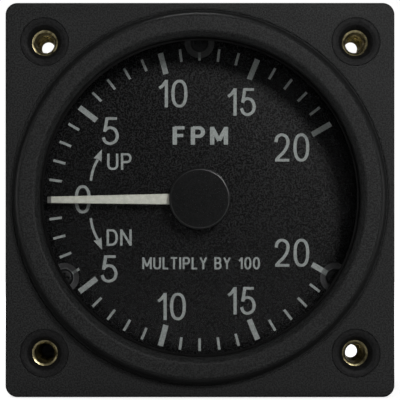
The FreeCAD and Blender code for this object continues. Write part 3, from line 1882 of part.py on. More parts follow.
def build():
    """Make every sub-part, from the front of the instrument to its rear."""
    make_sheet()
    front_bezel()
    mounting_inserts()
    window_parts()
    dial_plate()
    dial_screws()
    mounting_plate()
    plate_screws()
    pillar_set("movement_pillars", plate_back, rear_plate_front)
    pillar_studs()
    movement_rear_plate()
    pillar_set("bridge_pillars", rear_plate_back, bridge_front)
    capsule_bridge()
    bridge_screws()
    bushes()
    sector_gear()
    pointer_pinion()
    arbors()
    sector_tail()
    pointer_blade()
    pointer_hub()
    hairspring_collet()
    hairspring()
    hairspring_regulator()
    zero_adjust_screw()
    zero_adjust_plug()
    zero_lever()
    zero_lever_stud()
    rocking_shaft()
    rocker_pivot_screws()
    rocker_input_arm()
    rocker_output_arm()
    capsule_halves()
    capsule_stud()
    capsule_link()
    capsule_stem()
    manifold()
    static_hose()
    case_barrel()
    case_seal()
    case_screws()
    rear_cover()
    rear_cover_seal()
    rear_cover_screws()
    static_port_fitting()
    doc.recompute()


def check_document():
    """Stop if any object failed or any sub-part has no sound shape."""
    for item in doc.Objects:
        if any(word in ("Invalid", "Error") for word in item.State):
            raise RuntimeError(item.Name + " failed")
    for node in nodes:
        if node.Shape.isNull() or not node.Shape.isValid() or not node.Shape.Solids:
            raise RuntimeError(node.Label + " has no valid shape")


def write_parts():
    os.makedirs("parts", exist_ok=True)
    for node in nodes:
        node.Shape.exportStep("parts/%s.step" % node.Label)
        box = node.Shape.BoundBox
        print(
            "%-24s %2d solids %9.2f mm3  x %.2f..%.2f  y %.2f..%.2f  z %.2f..%.2f"
            % (
                node.Label,
                len(node.Shape.Solids),
                node.Shape.Volume,
                box.XMin,
                box.XMax,
                box.YMin,
                box.YMax,
                box.ZMin,
                box.ZMax,
            )
        )


build()
check_document()
write_parts()
print(len(nodes), "sub-parts written")
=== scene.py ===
# %% [markdown]
# # A climb and descent indicator, dressed in Blender
# The object is a round-dial panel instrument: a square moulded flange with a
# raised ring, a black dial under glass, a cream pointer, and a sealed case
# behind it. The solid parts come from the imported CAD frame. This file gives
# them their finishes, and makes again, finely, the pieces whose roundness,
# print or recesses the eye goes to.

# %% Load the frame
import json
import math

import bpy
import mathutils
import numpy as np
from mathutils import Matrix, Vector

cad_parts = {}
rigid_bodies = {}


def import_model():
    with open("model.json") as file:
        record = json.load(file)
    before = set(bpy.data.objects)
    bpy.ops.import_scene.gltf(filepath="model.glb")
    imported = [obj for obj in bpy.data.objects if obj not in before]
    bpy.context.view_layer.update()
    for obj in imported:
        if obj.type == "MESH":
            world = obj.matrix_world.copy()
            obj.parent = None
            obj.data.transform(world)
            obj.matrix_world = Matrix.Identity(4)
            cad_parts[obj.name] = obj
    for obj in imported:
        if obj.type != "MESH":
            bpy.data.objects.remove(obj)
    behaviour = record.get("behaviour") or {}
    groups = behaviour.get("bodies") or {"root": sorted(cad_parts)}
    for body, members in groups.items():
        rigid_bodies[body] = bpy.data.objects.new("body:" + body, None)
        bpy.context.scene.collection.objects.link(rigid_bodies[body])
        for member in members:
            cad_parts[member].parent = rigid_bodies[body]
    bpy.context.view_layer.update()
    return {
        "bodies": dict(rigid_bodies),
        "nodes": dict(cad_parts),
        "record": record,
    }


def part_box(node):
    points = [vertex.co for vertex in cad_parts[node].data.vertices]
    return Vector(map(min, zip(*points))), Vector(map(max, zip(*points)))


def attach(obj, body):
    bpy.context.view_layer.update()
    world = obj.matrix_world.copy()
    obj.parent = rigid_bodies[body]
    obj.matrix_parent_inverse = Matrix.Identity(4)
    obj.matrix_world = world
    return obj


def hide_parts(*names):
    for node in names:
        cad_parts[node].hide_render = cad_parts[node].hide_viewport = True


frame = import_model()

# %% [markdown]
# ## Measures
# A dressed piece has to sit exactly where its CAD node sits. The two ways are
# to type the numbers again, or to read the node's own box. Boxes are used
# wherever a node gives the size, so that a piece follows the frame, and only
# what no box can tell, such as a printed line's width, is written here.

# %% Read places from the frame
MM = 0.001


def low(node):
    """Lower corner of a node's box, in millimetres."""
    return np.array(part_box(node)[0]) / MM


def high(node):
    """Upper corner of a node's box, in millimetres."""
    return np.array(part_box(node)[1]) / MM


def middle(node):
    """Middle of a node's box, in millimetres."""
    return (low(node) + high(node)) / 2


DIAL_FRONT = low("dial_plate")[1]
DIAL_RADIUS = high("dial_plate")[0]
PANEL_BACK = low("case_barrel")[1]
FLANGE_BACK = low("mounting_plate")[1]
AXIS_UP = middle("static_port_fitting")[2]
print("dial face at %.2f mm, radius %.2f mm" % (DIAL_FRONT, DIAL_RADIUS))

# %% [markdown]
# ## Helpers for surfaces
# Nearly every round piece here is a profile turned about an axis that runs
# front to back. One helper lays a grid of points and joins neighbours with
# four-sided faces; the shape then lies only in how the grid is filled. The
# alternative, stacking ready-made cylinders, gives no control of fillets.

# %% Grid of points to mesh
def grid_faces(rows, columns, loop_rows=False):
    """Faces between neighbouring points of a rows x columns grid whose columns
    close on themselves. Point (i, j) has index i * columns + j."""
    last = rows if loop_rows else rows - 1
    i, j = np.meshgrid(np.arange(last), np.arange(columns), indexing="ij")
    below = (i + 1) % rows
    beside = (j + 1) % columns
    corners = [
        i * columns + j,
        i * columns + beside,
        below * columns + beside,
        below * columns + j,
    ]
    return [tuple(face) for face in np.stack(corners, axis=-1).reshape(-1, 4).tolist()]


def make_piece(name, points, faces, sharp_degrees=35.0):
    """Object from points in millimetres and faces, with normals turned
    outward, doubles merged and edges sharper than the angle kept crisp."""
    mesh = bpy.data.meshes.new(name)
    mesh.from_pydata((np.asarray(points) * MM).tolist(), [], faces)
    piece = bpy.data.objects.new(name, mesh)
    bpy.context.scene.collection.objects.link(piece)
    bpy.context.view_layer.objects.active = piece
    bpy.ops.object.select_all(action="DESELECT")
    piece.select_set(True)
    bpy.ops.object.mode_set(mode="EDIT")
    bpy.ops.mesh.select_all(action="SELECT")
    bpy.ops.mesh.remove_doubles(threshold=1e-7)
    bpy.ops.mesh.dissolve_degenerate(threshold=1e-8)
    bpy.ops.mesh.select_all(action="SELECT")
    bpy.ops.mesh.normals_make_consistent(inside=False)
    bpy.ops.object.mode_set(mode="OBJECT")
    smooth = np.ones(len(mesh.polygons), dtype=bool)
    mesh.polygons.foreach_set("use_smooth", smooth)
    mesh.set_sharp_from_angle(angle=math.radians(sharp_degrees))
    return piece


print("mesh helpers ready")

# %% [markdown]
# ## Turned shapes
# A lathe piece is a profile of radius against depth. The profile's corners are
# rounded before it is turned, as a tool or a mould rounds them, because light
# catches on those small radii and a knife-sharp corner looks like a drawing.

# %% Profiles and turning
def rounded(profile, radius, steps=4):
    """Profile whose inner corners are replaced by arcs: each corner C between
    A and B becomes a quadratic curve from C + r(A-C)/|A-C| to
    C + r(B-C)/|B-C|, with r no more than 0.45 of either side."""
    profile = np.asarray(profile, float)
    out = [profile[0]]
    blend = np.linspace(0.0, 1.0, steps + 1)[:, None]
    for before, corner, after in zip(profile[:-2], profile[1:-1], profile[2:]):
        back = before - corner
        ahead = after - corner
        reach = min(radius, 0.45 * np.hypot(*back), 0.45 * np.hypot(*ahead))
        start = corner + back * reach / max(np.hypot(*back), 1e-9)
        end = corner + ahead * reach / max(np.hypot(*ahead), 1e-9)
        curve = (1 - blend) ** 2 * start + 2 * blend * (1 - blend) * corner + blend**2 * end
        out.extend(curve)
    out.append(profile[-1])
    return np.array(out)


def turn_points(profile, centre, segments):
    """Points of a turned surface: angle a runs round the axis, and a profile
    point (r, y) becomes (cx + r cos a, y, cz + r sin a)."""
    angle = np.linspace(0.0, 2 * np.pi, segments, endpoint=False)
    radius = profile[:, 0][:, None]
    x = radius * np.cos(angle)
    z = radius * np.sin(angle)
    y = np.repeat(profile[:, 1][:, None], segments, axis=1)
    points = np.stack([x + centre[0], y, z + centre[1]], axis=-1)
    return points.reshape(-1, 3)


def lathe(profile, centre=(0.0, 0.0), segments=192, loop=False):
    """Turned surface as points and faces. With loop, the profile closes on
    itself as a ring's does."""
    profile = np.asarray(profile, float)
    return turn_points(profile, centre, segments), grid_faces(len(profile), segments, loop)


print("turning helpers ready")

# %% [markdown]
# ## Finishes
# A finish is a small node network. Each starts from the plain shader and adds
# what the eye expects at that scale: a slight mottle in colour, a change of
# roughness where hands and tools have been, and a fine bump. All of it reads
# Object coordinates in metres, so it stays on the piece from every side.

# %% Material builder
NOISE_LOW = 0.3  # nearly all values of the noise lie between these two
NOISE_HIGH = 0.7
WEAR_DETAIL = 5.0
GRAIN_DETAIL = 1.5


def spread(tree, value, start, end, low_value, high_value):
    """Value from one range laid out over another, held at its ends."""
    node = tree.nodes.new("ShaderNodeMapRange")
    for socket, number in (
        ("From Min", start),
        ("From Max", end),
        ("To Min", low_value),
        ("To Max", high_value),
    ):
        node.inputs[socket].default_value = number
    tree.links.new(value, node.inputs["Value"])
    return node.outputs["Result"]


def arithmetic(tree, operation, first, second):
    """Two values through one arithmetic operation."""
    node = tree.nodes.new("ShaderNodeMath")
    node.operation = operation
    tree.links.new(first, node.inputs[0])
    tree.links.new(second, node.inputs[1])
    return node.outputs[0]


class Finish:
    """Builds one procedural finish, with noise measured in features per metre."""

    def __init__(self, name, colour, roughness, metallic=0.0, specular=0.5):
        self.name = name
        self.material = bpy.data.materials.new(name)
        self.material.use_nodes = True
        self.tree = self.material.node_tree
        self.shader = self.tree.nodes["Principled BSDF"]
        self.shader.inputs["Base Color"].default_value = (*colour, 1.0)
        self.shader.inputs["Roughness"].default_value = roughness
        self.shader.inputs["Metallic"].default_value = metallic
        self.shader.inputs["Specular IOR Level"].default_value = specular
        self.place = self.tree.nodes.new("ShaderNodeTexCoord").outputs["Object"]
        self.bump = None

    def link(self, start, end):
        """Connects two sockets."""
        self.tree.links.new(start, end)

    def noise(self, scale, detail=4.0, stretch=(1.0, 1.0, 1.0)):
        """Noise over the piece, drawn out where the stretch is small."""
        mapping = self.tree.nodes.new("ShaderNodeMapping")
        mapping.inputs["Scale"].default_value = stretch
        self.link(self.place, mapping.inputs["Vector"])
        noise = self.tree.nodes.new("ShaderNodeTexNoise")
        noise.inputs["Scale"].default_value = scale
        noise.inputs["Detail"].default_value = detail
        self.link(mapping.outputs["Vector"], noise.inputs["Vector"])
        return noise.outputs["Fac"]

    def mottle(self, scale, low_colour, high_colour, start=0.35, end=0.65, detail=4.0):
        """Base colour that wanders between two tones."""
        ramp = self.tree.nodes.new("ShaderNodeValToRGB")
        stops = ((start, low_colour), (end, high_colour))
        for element, (position, colour) in zip(ramp.color_ramp.elements, stops):
            element.position = position
            element.color = (*colour, 1.0)
        self.link(self.noise(scale, detail), ramp.inputs["Fac"])
        self.link(ramp.outputs["Color"], self.shader.inputs["Base Color"])
        return self

    def wear(self, scale, smooth, rough, stretch=(1.0, 1.0, 1.0)):
        """Roughness that wanders between two values."""
        noise = self.noise(scale, WEAR_DETAIL, stretch)
        rubbed = spread(self.tree, noise, NOISE_LOW, NOISE_HIGH, smooth, rough)
        self.link(rubbed, self.shader.inputs["Roughness"])
        return self

    def grain(self, scale, strength, depth, stretch=(1.0, 1.0, 1.0)):
        """Fine bump: strength is its weight and depth its height in metres. A
        second grain is laid over the first."""
        bump = self.tree.nodes.new("ShaderNodeBump")
        bump.inputs["Strength"].default_value = strength
        bump.inputs["Distance"].default_value = depth
        self.link(self.noise(scale, GRAIN_DETAIL, stretch), bump.inputs["Height"])
        if self.bump is not None:
            self.link(self.bump, bump.inputs["Normal"])
        self.bump = bump.outputs["Normal"]
        self.link(self.bump, self.shader.inputs["Normal"])
        return self


print("finish builder ready")

# %% [markdown]
# ## Plastics, paints and rubber
# The flange is a satin moulding, the dial a matt printed face with a fine
# speckle, and the case a sprayed coat. They are all nearly black, so what tells
# them apart is roughness and grain, more than colour.

# %% Dark finishes
bezel_black = (
    Finish("bezel_black", (0.0085, 0.009, 0.009), 0.6, specular=0.17)
    .mottle(4400, (0.0038, 0.0039, 0.0039), (0.0148, 0.0155, 0.0154), 0.36, 0.64, 0.0)
    .wear(260, 0.57, 0.62)
    .grain(4800, 0.8, 0.00005)
)
dial_black = (
    Finish("dial_black", (0.0005, 0.0005, 0.0006), 0.3, specular=0.27)
    .mottle(4000, (0.0001, 0.0001, 0.0001), (0.0052, 0.0053, 0.006), 0.5, 0.74, 0.0)
    .wear(4000, 0.18, 0.36)
    .grain(5600, 0.5, 0.00002)
)
case_black = (
    Finish("case_black", (0.014, 0.0145, 0.0145), 0.46, specular=0.35)
    .mottle(900, (0.012, 0.0125, 0.0125), (0.018, 0.0185, 0.018))
    .wear(240, 0.42, 0.52, (0.2, 1.0, 0.2))
    .grain(3000, 0.3, 0.00004)
    .grain(2600, 0.35, 0.00003, (0.04, 1.0, 0.04))
)
hub_black = (
    Finish("hub_black", (0.004, 0.0045, 0.0045), 0.42, specular=0.07)
    .mottle(5200, (0.0014, 0.0015, 0.0015), (0.0064, 0.0066, 0.0066), 0.38, 0.62, 0.0)
    .wear(700, 0.45, 0.5)
    .grain(6000, 0.7, 0.00004)
)
ring_black = (
    Finish("ring_black", (0.006, 0.006, 0.006), 0.7, specular=0.2)
    .mottle(700, (0.005, 0.005, 0.005), (0.009, 0.009, 0.009))
    .wear(300, 0.6, 0.8)
)
screw_black = (
    Finish("screw_black", (0.004, 0.004, 0.0045), 0.5, specular=0.2)
    .mottle(2500, (0.003, 0.003, 0.0034), (0.006, 0.006, 0.0066))
    .wear(1800, 0.44, 0.6)
    .grain(6000, 0.2, 0.00003)
)
seal_rubber = (
    Finish("seal_rubber", (0.002, 0.002, 0.002), 0.75, specular=0.08)
    .mottle(800, (0.0015, 0.0015, 0.0015), (0.003, 0.003, 0.003))
    .wear(500, 0.65, 0.85)
    .grain(4000, 0.3, 0.00005)
)
hose_rubber = (
    Finish("hose_rubber", (0.007, 0.007, 0.007), 0.7, specular=0.3)
    .mottle(600, (0.005, 0.005, 0.005), (0.011, 0.011, 0.011))
    .wear(400, 0.6, 0.8)
    .grain(3000, 0.3, 0.00006)
)
print("dark finishes made")

# %% [markdown]
# ## Metals
# A turned metal part shows very fine rings. Modelling them would cost a great
# many faces, so a faint bump stands for them, with its noise drawn out along one
# axis. The inserts' brass is dulled and greyish, and steel is left bright.

# %% Metal finishes
def metal(name, tone, dark, roughness, scale=1500):
    """Metal whose colour and polish wander, with a faint machining grain."""
    return (
        Finish(name, tone, roughness, 1.0)
        .mottle(scale, dark, tone)
        .wear(scale * 0.6, roughness * 0.8, roughness * 1.35)
        .grain(scale * 5, 0.15, 0.00003, (1.0, 0.15, 1.0))
    )


insert_brass = metal("insert_brass", (0.44, 0.385, 0.215), (0.115, 0.098, 0.053), 0.3)
movement_brass = metal("movement_brass", (0.62, 0.48, 0.2), (0.5, 0.38, 0.15), 0.3)
capsule_bronze = metal("capsule_bronze", (0.6, 0.36, 0.17), (0.45, 0.26, 0.12), 0.32)
screw_steel = metal("screw_steel", (0.46, 0.46, 0.47), (0.34, 0.34, 0.35), 0.34)
arbor_steel = metal("arbor_steel", (0.56, 0.56, 0.58), (0.44, 0.44, 0.46), 0.22)
fitting_aluminium = metal(
    "fitting_aluminium", (0.6, 0.6, 0.61), (0.55, 0.55, 0.56), 0.34, 2400
)
print("metal finishes made")

# %% [markdown]
# ## Paint and print
# The pointer has a cream paint with a slight texture. The print on the dial is a
# thin ink that lets some black through, so it is greyer and blotchier than the
# pointer, and a touch green.

# %% Light finishes
pointer_white = (
    Finish("pointer_white", (0.38, 0.385, 0.33), 0.55, specular=0.3)
    .mottle(1600, (0.41, 0.417, 0.36), (0.505, 0.513, 0.45))
    .wear(900, 0.48, 0.65)
    .grain(6000, 0.2, 0.00003)
)
dial_ink = (
    Finish("dial_ink", (0.2, 0.21, 0.2), 0.65, specular=0.25)
    .mottle(4200, (0.2, 0.216, 0.208), (0.315, 0.34, 0.328), 0.3, 0.7, 3.0)
    .wear(900, 0.55, 0.75)
)
print("paint and print made")

# %% [markdown]
# ## Glass
# The window is flat, clear and coated. A full glass shader would darken the dial,
# because a path tracer blocks lamp light behind refracting surfaces. A very thin
# veil with a sharp gloss does what the eye sees: almost nothing, and a faint
# reflection at a slant.

# %% Glass finish
window_glass = Finish("window_glass", (0.012, 0.013, 0.014), 0.05, specular=0.5)
window_glass.mottle(300, (0.01, 0.011, 0.012), (0.014, 0.015, 0.016))
window_glass.wear(400, 0.03, 0.08)
window_glass.shader.inputs["Alpha"].default_value = 0.025
print("glass made")

# %% [markdown]
# ## Every CAD node gets its finish
# The record names a material slot for each node. The frame carries that slot as
# a material, so one loop can hand each node its finish. Nodes that are replaced
# further down get it too, in case they are ever shown again.

# %% Dress the nodes
ALL_FINISHES = [
    bezel_black, case_black, ring_black, dial_black, hub_black, screw_black,
    seal_rubber, hose_rubber, insert_brass, movement_brass, capsule_bronze,
    screw_steel, arbor_steel, fitting_aluminium, pointer_white, window_glass,
]
FINISHES = {finish.name: finish for finish in ALL_FINISHES}
SLOT_OF = {part["node"]: part["material_slot"] for part in frame["record"]["subparts"]}
for node_name, node in frame["nodes"].items():
    slots = node.data.materials
    if len(slots) == 0:
        slots.append(None)
    for index in range(len(slots)):
        slots[index] = FINISHES[SLOT_OF[node_name]].material
adjuster_steel = (
    Finish("adjuster_steel", (0.03, 0.03, 0.032), 0.5, 0.8, 0.3)
    .mottle(1800, (0.02, 0.02, 0.022), (0.04, 0.04, 0.043))
    .wear(1200, 0.42, 0.6)
)
frame["nodes"]["zero_adjust_screw"].data.materials[0] = adjuster_steel.material
print("dressed", len(frame["nodes"]), "nodes")

# %% [markdown]
# ## Placing a new piece
# A piece that stands for a CAD node has to move as the node does, carry the
# node's material slot and hide the node. Doing this by hand for each piece
# invites slips, so one helper does all three. Where a worn or pressed area
# needs another look, a second slot is given to the faces that lie there, which
# keeps the piece whole, where cutting it in two would leave a seam.

# %% Place and finish pieces
ROOT = next(b for b in frame["bodies"] if b in ("case", "root"))


def place(piece, slot_name, body, *nodes, finish=None):
    """Finishes a new piece, lets it ride on a body and stand for its nodes."""
    finish = finish or FINISHES[slot_name]
    piece.data.materials.clear()
    piece.data.materials.append(finish.material)
    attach(piece, body)
    if nodes:
        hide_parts(*nodes)
    print(piece.name, len(piece.data.polygons), "faces")


def face_middles(piece):
    """Middle of each face in millimetres, as rows of (x, y, z)."""
    flat = np.zeros(len(piece.data.polygons) * 3)
    piece.data.polygons.foreach_get("center", flat)
    return flat.reshape(-1, 3) / MM


def second_finish(piece, finish, chosen):
    """Gives the chosen faces a finish of their own."""
    piece.data.materials.append(finish.material)
    piece.data.polygons.foreach_set("material_index", chosen.astype(np.int32))
    print(int(chosen.sum()), "faces in", finish.name)


print("fixed body is", ROOT)

# %% [markdown]
# ## Faces with holes
# The flange, the dial and a screw's head have flat faces with holes in them.
# Such a face could be cut by Booleans, but they leave ragged edges that can't be
# rounded. A flat curve fills itself between its loops, and its edge points are
# the same as those of the walls that start there, so the two weld without a seam.

# %% Fill between loops
def arc(centre, radius, angles):
    """Points centre + radius * (cos a, sin a), for angles a in radians."""
    return np.stack(
        [centre[0] + radius * np.cos(angles), centre[1] + radius * np.sin(angles)], axis=-1
    )


def circle(centre, radius, count):
    """Full circle in equal steps."""
    return arc(centre, radius, np.linspace(0.0, 2 * np.pi, count, endpoint=False))


def on_circle(radius, degrees):
    """Place at a distance and an angle from the dial's axis: r cos a, r sin a."""
    turn = math.radians(degrees)
    return radius * math.cos(turn), radius * math.sin(turn)


def filled(loops, depth):
    """Flat surface at one depth that fills the first loop and leaves out the
    others. Loops are arrays of (x, z)."""
    outline = bpy.data.curves.new("outline", "CURVE")
    outline.dimensions = "2D"
    outline.fill_mode = "BOTH"
    for loop in loops:
        spline = outline.splines.new("POLY")
        spline.points.add(len(loop) - 1)
        flat = np.column_stack([loop, np.zeros(len(loop)), np.ones(len(loop))])
        spline.points.foreach_set("co", flat.astype(np.float32).ravel())
        spline.use_cyclic_u = True
    carrier = bpy.data.objects.new("outline", outline)
    bpy.context.scene.collection.objects.link(carrier)
    mesh = bpy.data.meshes.new_from_object(carrier)
    flat = np.zeros(len(mesh.vertices) * 3)
    mesh.vertices.foreach_get("co", flat)
    flat = flat.reshape(-1, 3)
    points = np.stack([flat[:, 0], np.full(len(flat), depth), flat[:, 1]], axis=-1)
    faces = [tuple(face.vertices) for face in mesh.polygons]
    bpy.data.objects.remove(carrier)
    bpy.data.curves.remove(outline)
    bpy.data.meshes.remove(mesh)
    return points, faces


def wall(loops_and_depths):
    """Surface through a stack of loops with equal counts, each at its depth."""
    rows = [
        np.stack([loop[:, 0], np.full(len(loop), depth), loop[:, 1]], axis=-1)
        for loop, depth in loops_and_depths
    ]
    return np.concatenate(rows), grid_faces(len(rows), len(rows[0]))


def combined(*surfaces):
    """One list of points and one of faces from several surfaces."""
    points = []
    faces = []
    start = 0
    for surface_points, surface_faces in surfaces:
        points.append(surface_points)
        faces += [tuple(start + index for index in face) for face in surface_faces]
        start += len(surface_points)
    return np.concatenate(points), faces


def block(loops_and_depths):
    """Closed block: a wall through the loops, with both its ends filled."""
    (first, front), (last, back) = loops_and_depths[0], loops_and_depths[-1]
    return combined(wall(loops_and_depths), filled([first], front), filled([last], back))


def radial_block(degrees, near, far, side_low, side_high, front, back):
    """Closed block that runs outward along one angle, from one distance from
    the axis to another, and from one distance beside that line to another."""
    out_x, out_z = on_circle(1.0, degrees)
    along = np.array([near, far, far, near])
    across = np.array([side_low, side_low, side_high, side_high])
    loop = np.stack(
        [along * out_x - across * out_z, along * out_z + across * out_x], axis=-1
    )
    return block([(loop, front), (loop, back)])


print("surface helpers ready")

# %% [markdown]
# ## The moulded flange and ring
# The flange is a thermoset moulding: a square plate with a raised ring, four
# screw wells, and a round skirt behind. Its mould has small radii on every
# edge. The face, the walls, the wells and the turned ring are separate surfaces
# that share their border points, so they weld into one closed skin.

# %% Flange outline
FLANGE_HALF = high("front_bezel")[0]
FLANGE_LOW = low("front_bezel")[2]
FLANGE_HIGH = high("front_bezel")[2]
CORNER_RADIUS = 1.8
EDGE_ROUND = 0.35
BACK_BREAK = 0.15
SCREW_AT = middle("zero_adjust_screw")[0]
CORNERS = [(x, z) for x in (SCREW_AT, -SCREW_AT) for z in (SCREW_AT, -SCREW_AT)]


def flange_loop(inset, per_corner=20):
    """Rounded rectangle moved inward by the inset: corner centres keep their
    place, and the corner radius shrinks with the inset."""
    radius = CORNER_RADIUS - inset
    corners = [
        (FLANGE_HALF, FLANGE_HIGH, -1, -1, 0),
        (-FLANGE_HALF, FLANGE_HIGH, 1, -1, 90),
        (-FLANGE_HALF, FLANGE_LOW, 1, 1, 180),
        (FLANGE_HALF, FLANGE_LOW, -1, 1, 270),
    ]
    arcs = []
    for x, z, to_x, to_z, start in corners:
        angles = np.radians(start + np.linspace(0.0, 90.0, per_corner))
        centre = (x + to_x * CORNER_RADIUS, z + to_z * CORNER_RADIUS)
        arcs.append(arc(centre, radius, angles))
    return np.concatenate(arcs)


edge_rows = [
    (flange_loop(EDGE_ROUND * (1 - np.sin(a))), EDGE_ROUND * (1 - np.cos(a)))
    for a in np.radians(np.linspace(0.0, 90.0, 7))
]
edge_rows.append((flange_loop(0.0), FLANGE_BACK - BACK_BREAK))
edge_rows.append((flange_loop(BACK_BREAK), FLANGE_BACK))
flange_edge = wall(edge_rows)
print("flange %.2f x %.2f mm" % (2 * FLANGE_HALF, FLANGE_HIGH - FLANGE_LOW))

# %% [markdown]
# ## Raised ring
# The ring and everything behind it is one lathe profile. It starts where the
# flange's face meets the ring's root, with a small bead and fold that catch the
# light, climbs the drafted wall, crosses the flat top, falls down the bevel to
# the window opening, and goes back through the window seat and the skirt. The
# zero lever reaches out through a gap in the skirt: the faces of the two walls
# are left out there and joined by new ones, which keeps the skin closed without
# a Boolean.

# %% Ring, seat and skirt
RING_SEGMENTS = 360  # one column of points for each degree
RING_ROOT = 28.35
RING_BORDER = RING_ROOT + 0.6
RING_TOP = 27.6
RING_FRONT = low("front_bezel")[1]
LIP_RADIUS = 24.02
LIP_BACK = -1.2
SEAT_RADIUS = high("window_glass")[0] + 0.1
SEAT_BACK = 3.6
NUT_RADIUS = 26.95
SKIRT_END = high("front_bezel")[1]
SKIRT_OUTER = high("case_barrel")[0]
SKIRT_INNER = SKIRT_OUTER - 1.4
GAP_FRONT = 13.3
GAP_BACK = 15.9
GAP_DEGREES = (218, 232)

ring_front_profile = rounded(
    [
        (RING_BORDER, 0.0),
        (RING_ROOT + 0.4, 0.0),
        (RING_ROOT + 0.24, -0.1),  # bead
        (RING_ROOT + 0.14, -0.07),
        (RING_ROOT + 0.04, 0.04),  # fold
        (RING_ROOT - 0.14, -0.06),
        (RING_ROOT - 0.46, -0.9),  # drafted wall
        (RING_TOP - 0.06, RING_FRONT + 0.5),
        (RING_TOP - 0.42, RING_FRONT),  # flat top
        (24.9, RING_FRONT),
        (LIP_RADIUS + 0.06, RING_FRONT + 0.85),  # foot of the bevel
        (LIP_RADIUS, LIP_BACK),
        (25.0, LIP_BACK),
    ],
    0.3,
    8,
)
ring_back_profile = [
    (SEAT_RADIUS, LIP_BACK),
    (SEAT_RADIUS, SEAT_BACK),
    (NUT_RADIUS, SEAT_BACK),
    (NUT_RADIUS, FLANGE_BACK),
    (SKIRT_INNER, FLANGE_BACK),
    (SKIRT_INNER, GAP_FRONT),
    (SKIRT_INNER, GAP_BACK),
    (SKIRT_INNER, SKIRT_END - 0.1),
    (SKIRT_INNER + 0.1, SKIRT_END),
    (SKIRT_OUTER - 0.2, SKIRT_END),
    (SKIRT_OUTER, SKIRT_END - 0.2),
    (SKIRT_OUTER, GAP_BACK),
    (SKIRT_OUTER, GAP_FRONT),
    (SKIRT_OUTER, FLANGE_BACK),
]
ring_profile = np.concatenate([ring_front_profile, ring_back_profile])
inner_row = len(ring_front_profile) + 5  # the skirt's inside at the gap's front
outer_row = inner_row + 6  # the skirt's outside at the gap's back


def ring_face(*corners):
    """Face through points of the ring's grid, each given by row and column."""
    return tuple(row * RING_SEGMENTS + column for row, column in corners)


ring_points, ring_faces = lathe(ring_profile, segments=RING_SEGMENTS)
gap_faces = {
    row * RING_SEGMENTS + column
    for row in (inner_row, outer_row)
    for column in range(*GAP_DEGREES)
}
ring_faces = [face for index, face in enumerate(ring_faces) if index not in gap_faces]
for inner, outer in ((inner_row, outer_row + 1), (inner_row + 1, outer_row)):
    for column in range(*GAP_DEGREES):
        ring_faces.append(
            ring_face((inner, column), (inner, column + 1), (outer, column + 1), (outer, column))
        )
for column in GAP_DEGREES:
    inner, outer = (inner_row, column), (outer_row, column)
    ring_faces.append(
        ring_face(inner, (inner_row + 1, column), outer, (outer_row + 1, column))
    )
print("ring profile has", len(ring_profile), "points and a gap of", len(gap_faces), "faces")

# %% [markdown]
# ## Screw wells
# Each screw hole has a black collar let into the flange. Its edge shows as a
# fine groove, and the collar dips softly to the hole that grips the brass
# insert. All of that is one lathe profile, whose first circle is also the
# hole's border in the flange face.

# %% Wells and faces
WELL_SEGMENTS = 72
WELL_RADIUS = 3.65
WELL_BORDER = WELL_RADIUS + 0.2
GROOVE_DEPTH = 0.16
INSERT_RADIUS = 2.125
well_profile = rounded(
    [
        (WELL_BORDER, 0.0),
        (WELL_RADIUS + 0.05, 0.0),
        (WELL_RADIUS + 0.03, GROOVE_DEPTH),
        (WELL_RADIUS - 0.05, GROOVE_DEPTH),
        (WELL_RADIUS - 0.09, 0.08),
        (3.1, 0.1),  # the collar dips from here
        (2.6, 0.24),
        (2.3, 0.6),
        (1.98, 1.2),
        (1.94, 1.6),  # and covers the insert's rim here
        (INSERT_RADIUS, 1.66),
        (INSERT_RADIUS, 2.0),
        (INSERT_RADIUS, FLANGE_BACK),
    ],
    0.1,
    5,
)
wells = [lathe(well_profile, corner, WELL_SEGMENTS) for corner in CORNERS]
front_holes = [circle(corner, WELL_BORDER, WELL_SEGMENTS) for corner in CORNERS]
back_holes = [circle(corner, INSERT_RADIUS, WELL_SEGMENTS) for corner in CORNERS]
front_face = filled(
    [flange_loop(EDGE_ROUND), circle((0, 0), RING_BORDER, RING_SEGMENTS), *front_holes], 0.0
)
back_face = filled(
    [flange_loop(BACK_BREAK), circle((0, 0), SKIRT_OUTER, RING_SEGMENTS), *back_holes],
    FLANGE_BACK,
)
print("face has", len(front_face[1]), "triangles")

# %% [markdown]
# ## Adjuster boss
# Behind the lower left well a boss holds the zero adjuster. It has a stepped
# bore for the screw and its seal, a C-shaped middle that leaves room for the
# lever, and an open chamber behind, where the plug closes it. Four webs join it
# to the skirt. The parts overlap, as boss and web run into each other in the
# mould, because a weld of all their borders would show nothing more.

# %% Adjuster boss and the finished moulding
BOSS_AT = (SCREW_AT, SCREW_AT)
BOSS_ANGLE = 225.0
BOSS_DISTANCE = -SCREW_AT * math.sqrt(2)
BOSS_RADIUS = 4.2
BOSS_FRONT = FLANGE_BACK - 0.05
ADJUSTER_BORE = 2.63
STEM_BORE = 1.65
BORE_STEP = 9.4
CHAMBER_RADIUS = 3.45
boss_low = lathe(
    [
        (BOSS_RADIUS, BOSS_FRONT),
        (BOSS_RADIUS, GAP_FRONT),
        (ADJUSTER_BORE, GAP_FRONT),
        (ADJUSTER_BORE, BORE_STEP),
        (STEM_BORE, BORE_STEP),
        (STEM_BORE, BOSS_FRONT),
    ],
    BOSS_AT,
    WELL_SEGMENTS,
    True,
)
boss_high = lathe(
    [
        (BOSS_RADIUS, GAP_BACK),
        (BOSS_RADIUS, SKIRT_END - 0.2),
        (BOSS_RADIUS - 0.2, SKIRT_END),
        (CHAMBER_RADIUS, SKIRT_END),
        (CHAMBER_RADIUS, GAP_BACK),
    ],
    BOSS_AT,
    WELL_SEGMENTS,
    True,
)
c_outline = np.concatenate([
    arc(BOSS_AT, BOSS_RADIUS, np.radians(np.linspace(99.0, 351.0, 40))),
    arc(BOSS_AT, CHAMBER_RADIUS, np.radians(np.linspace(325.0, 125.0, 40))),
])
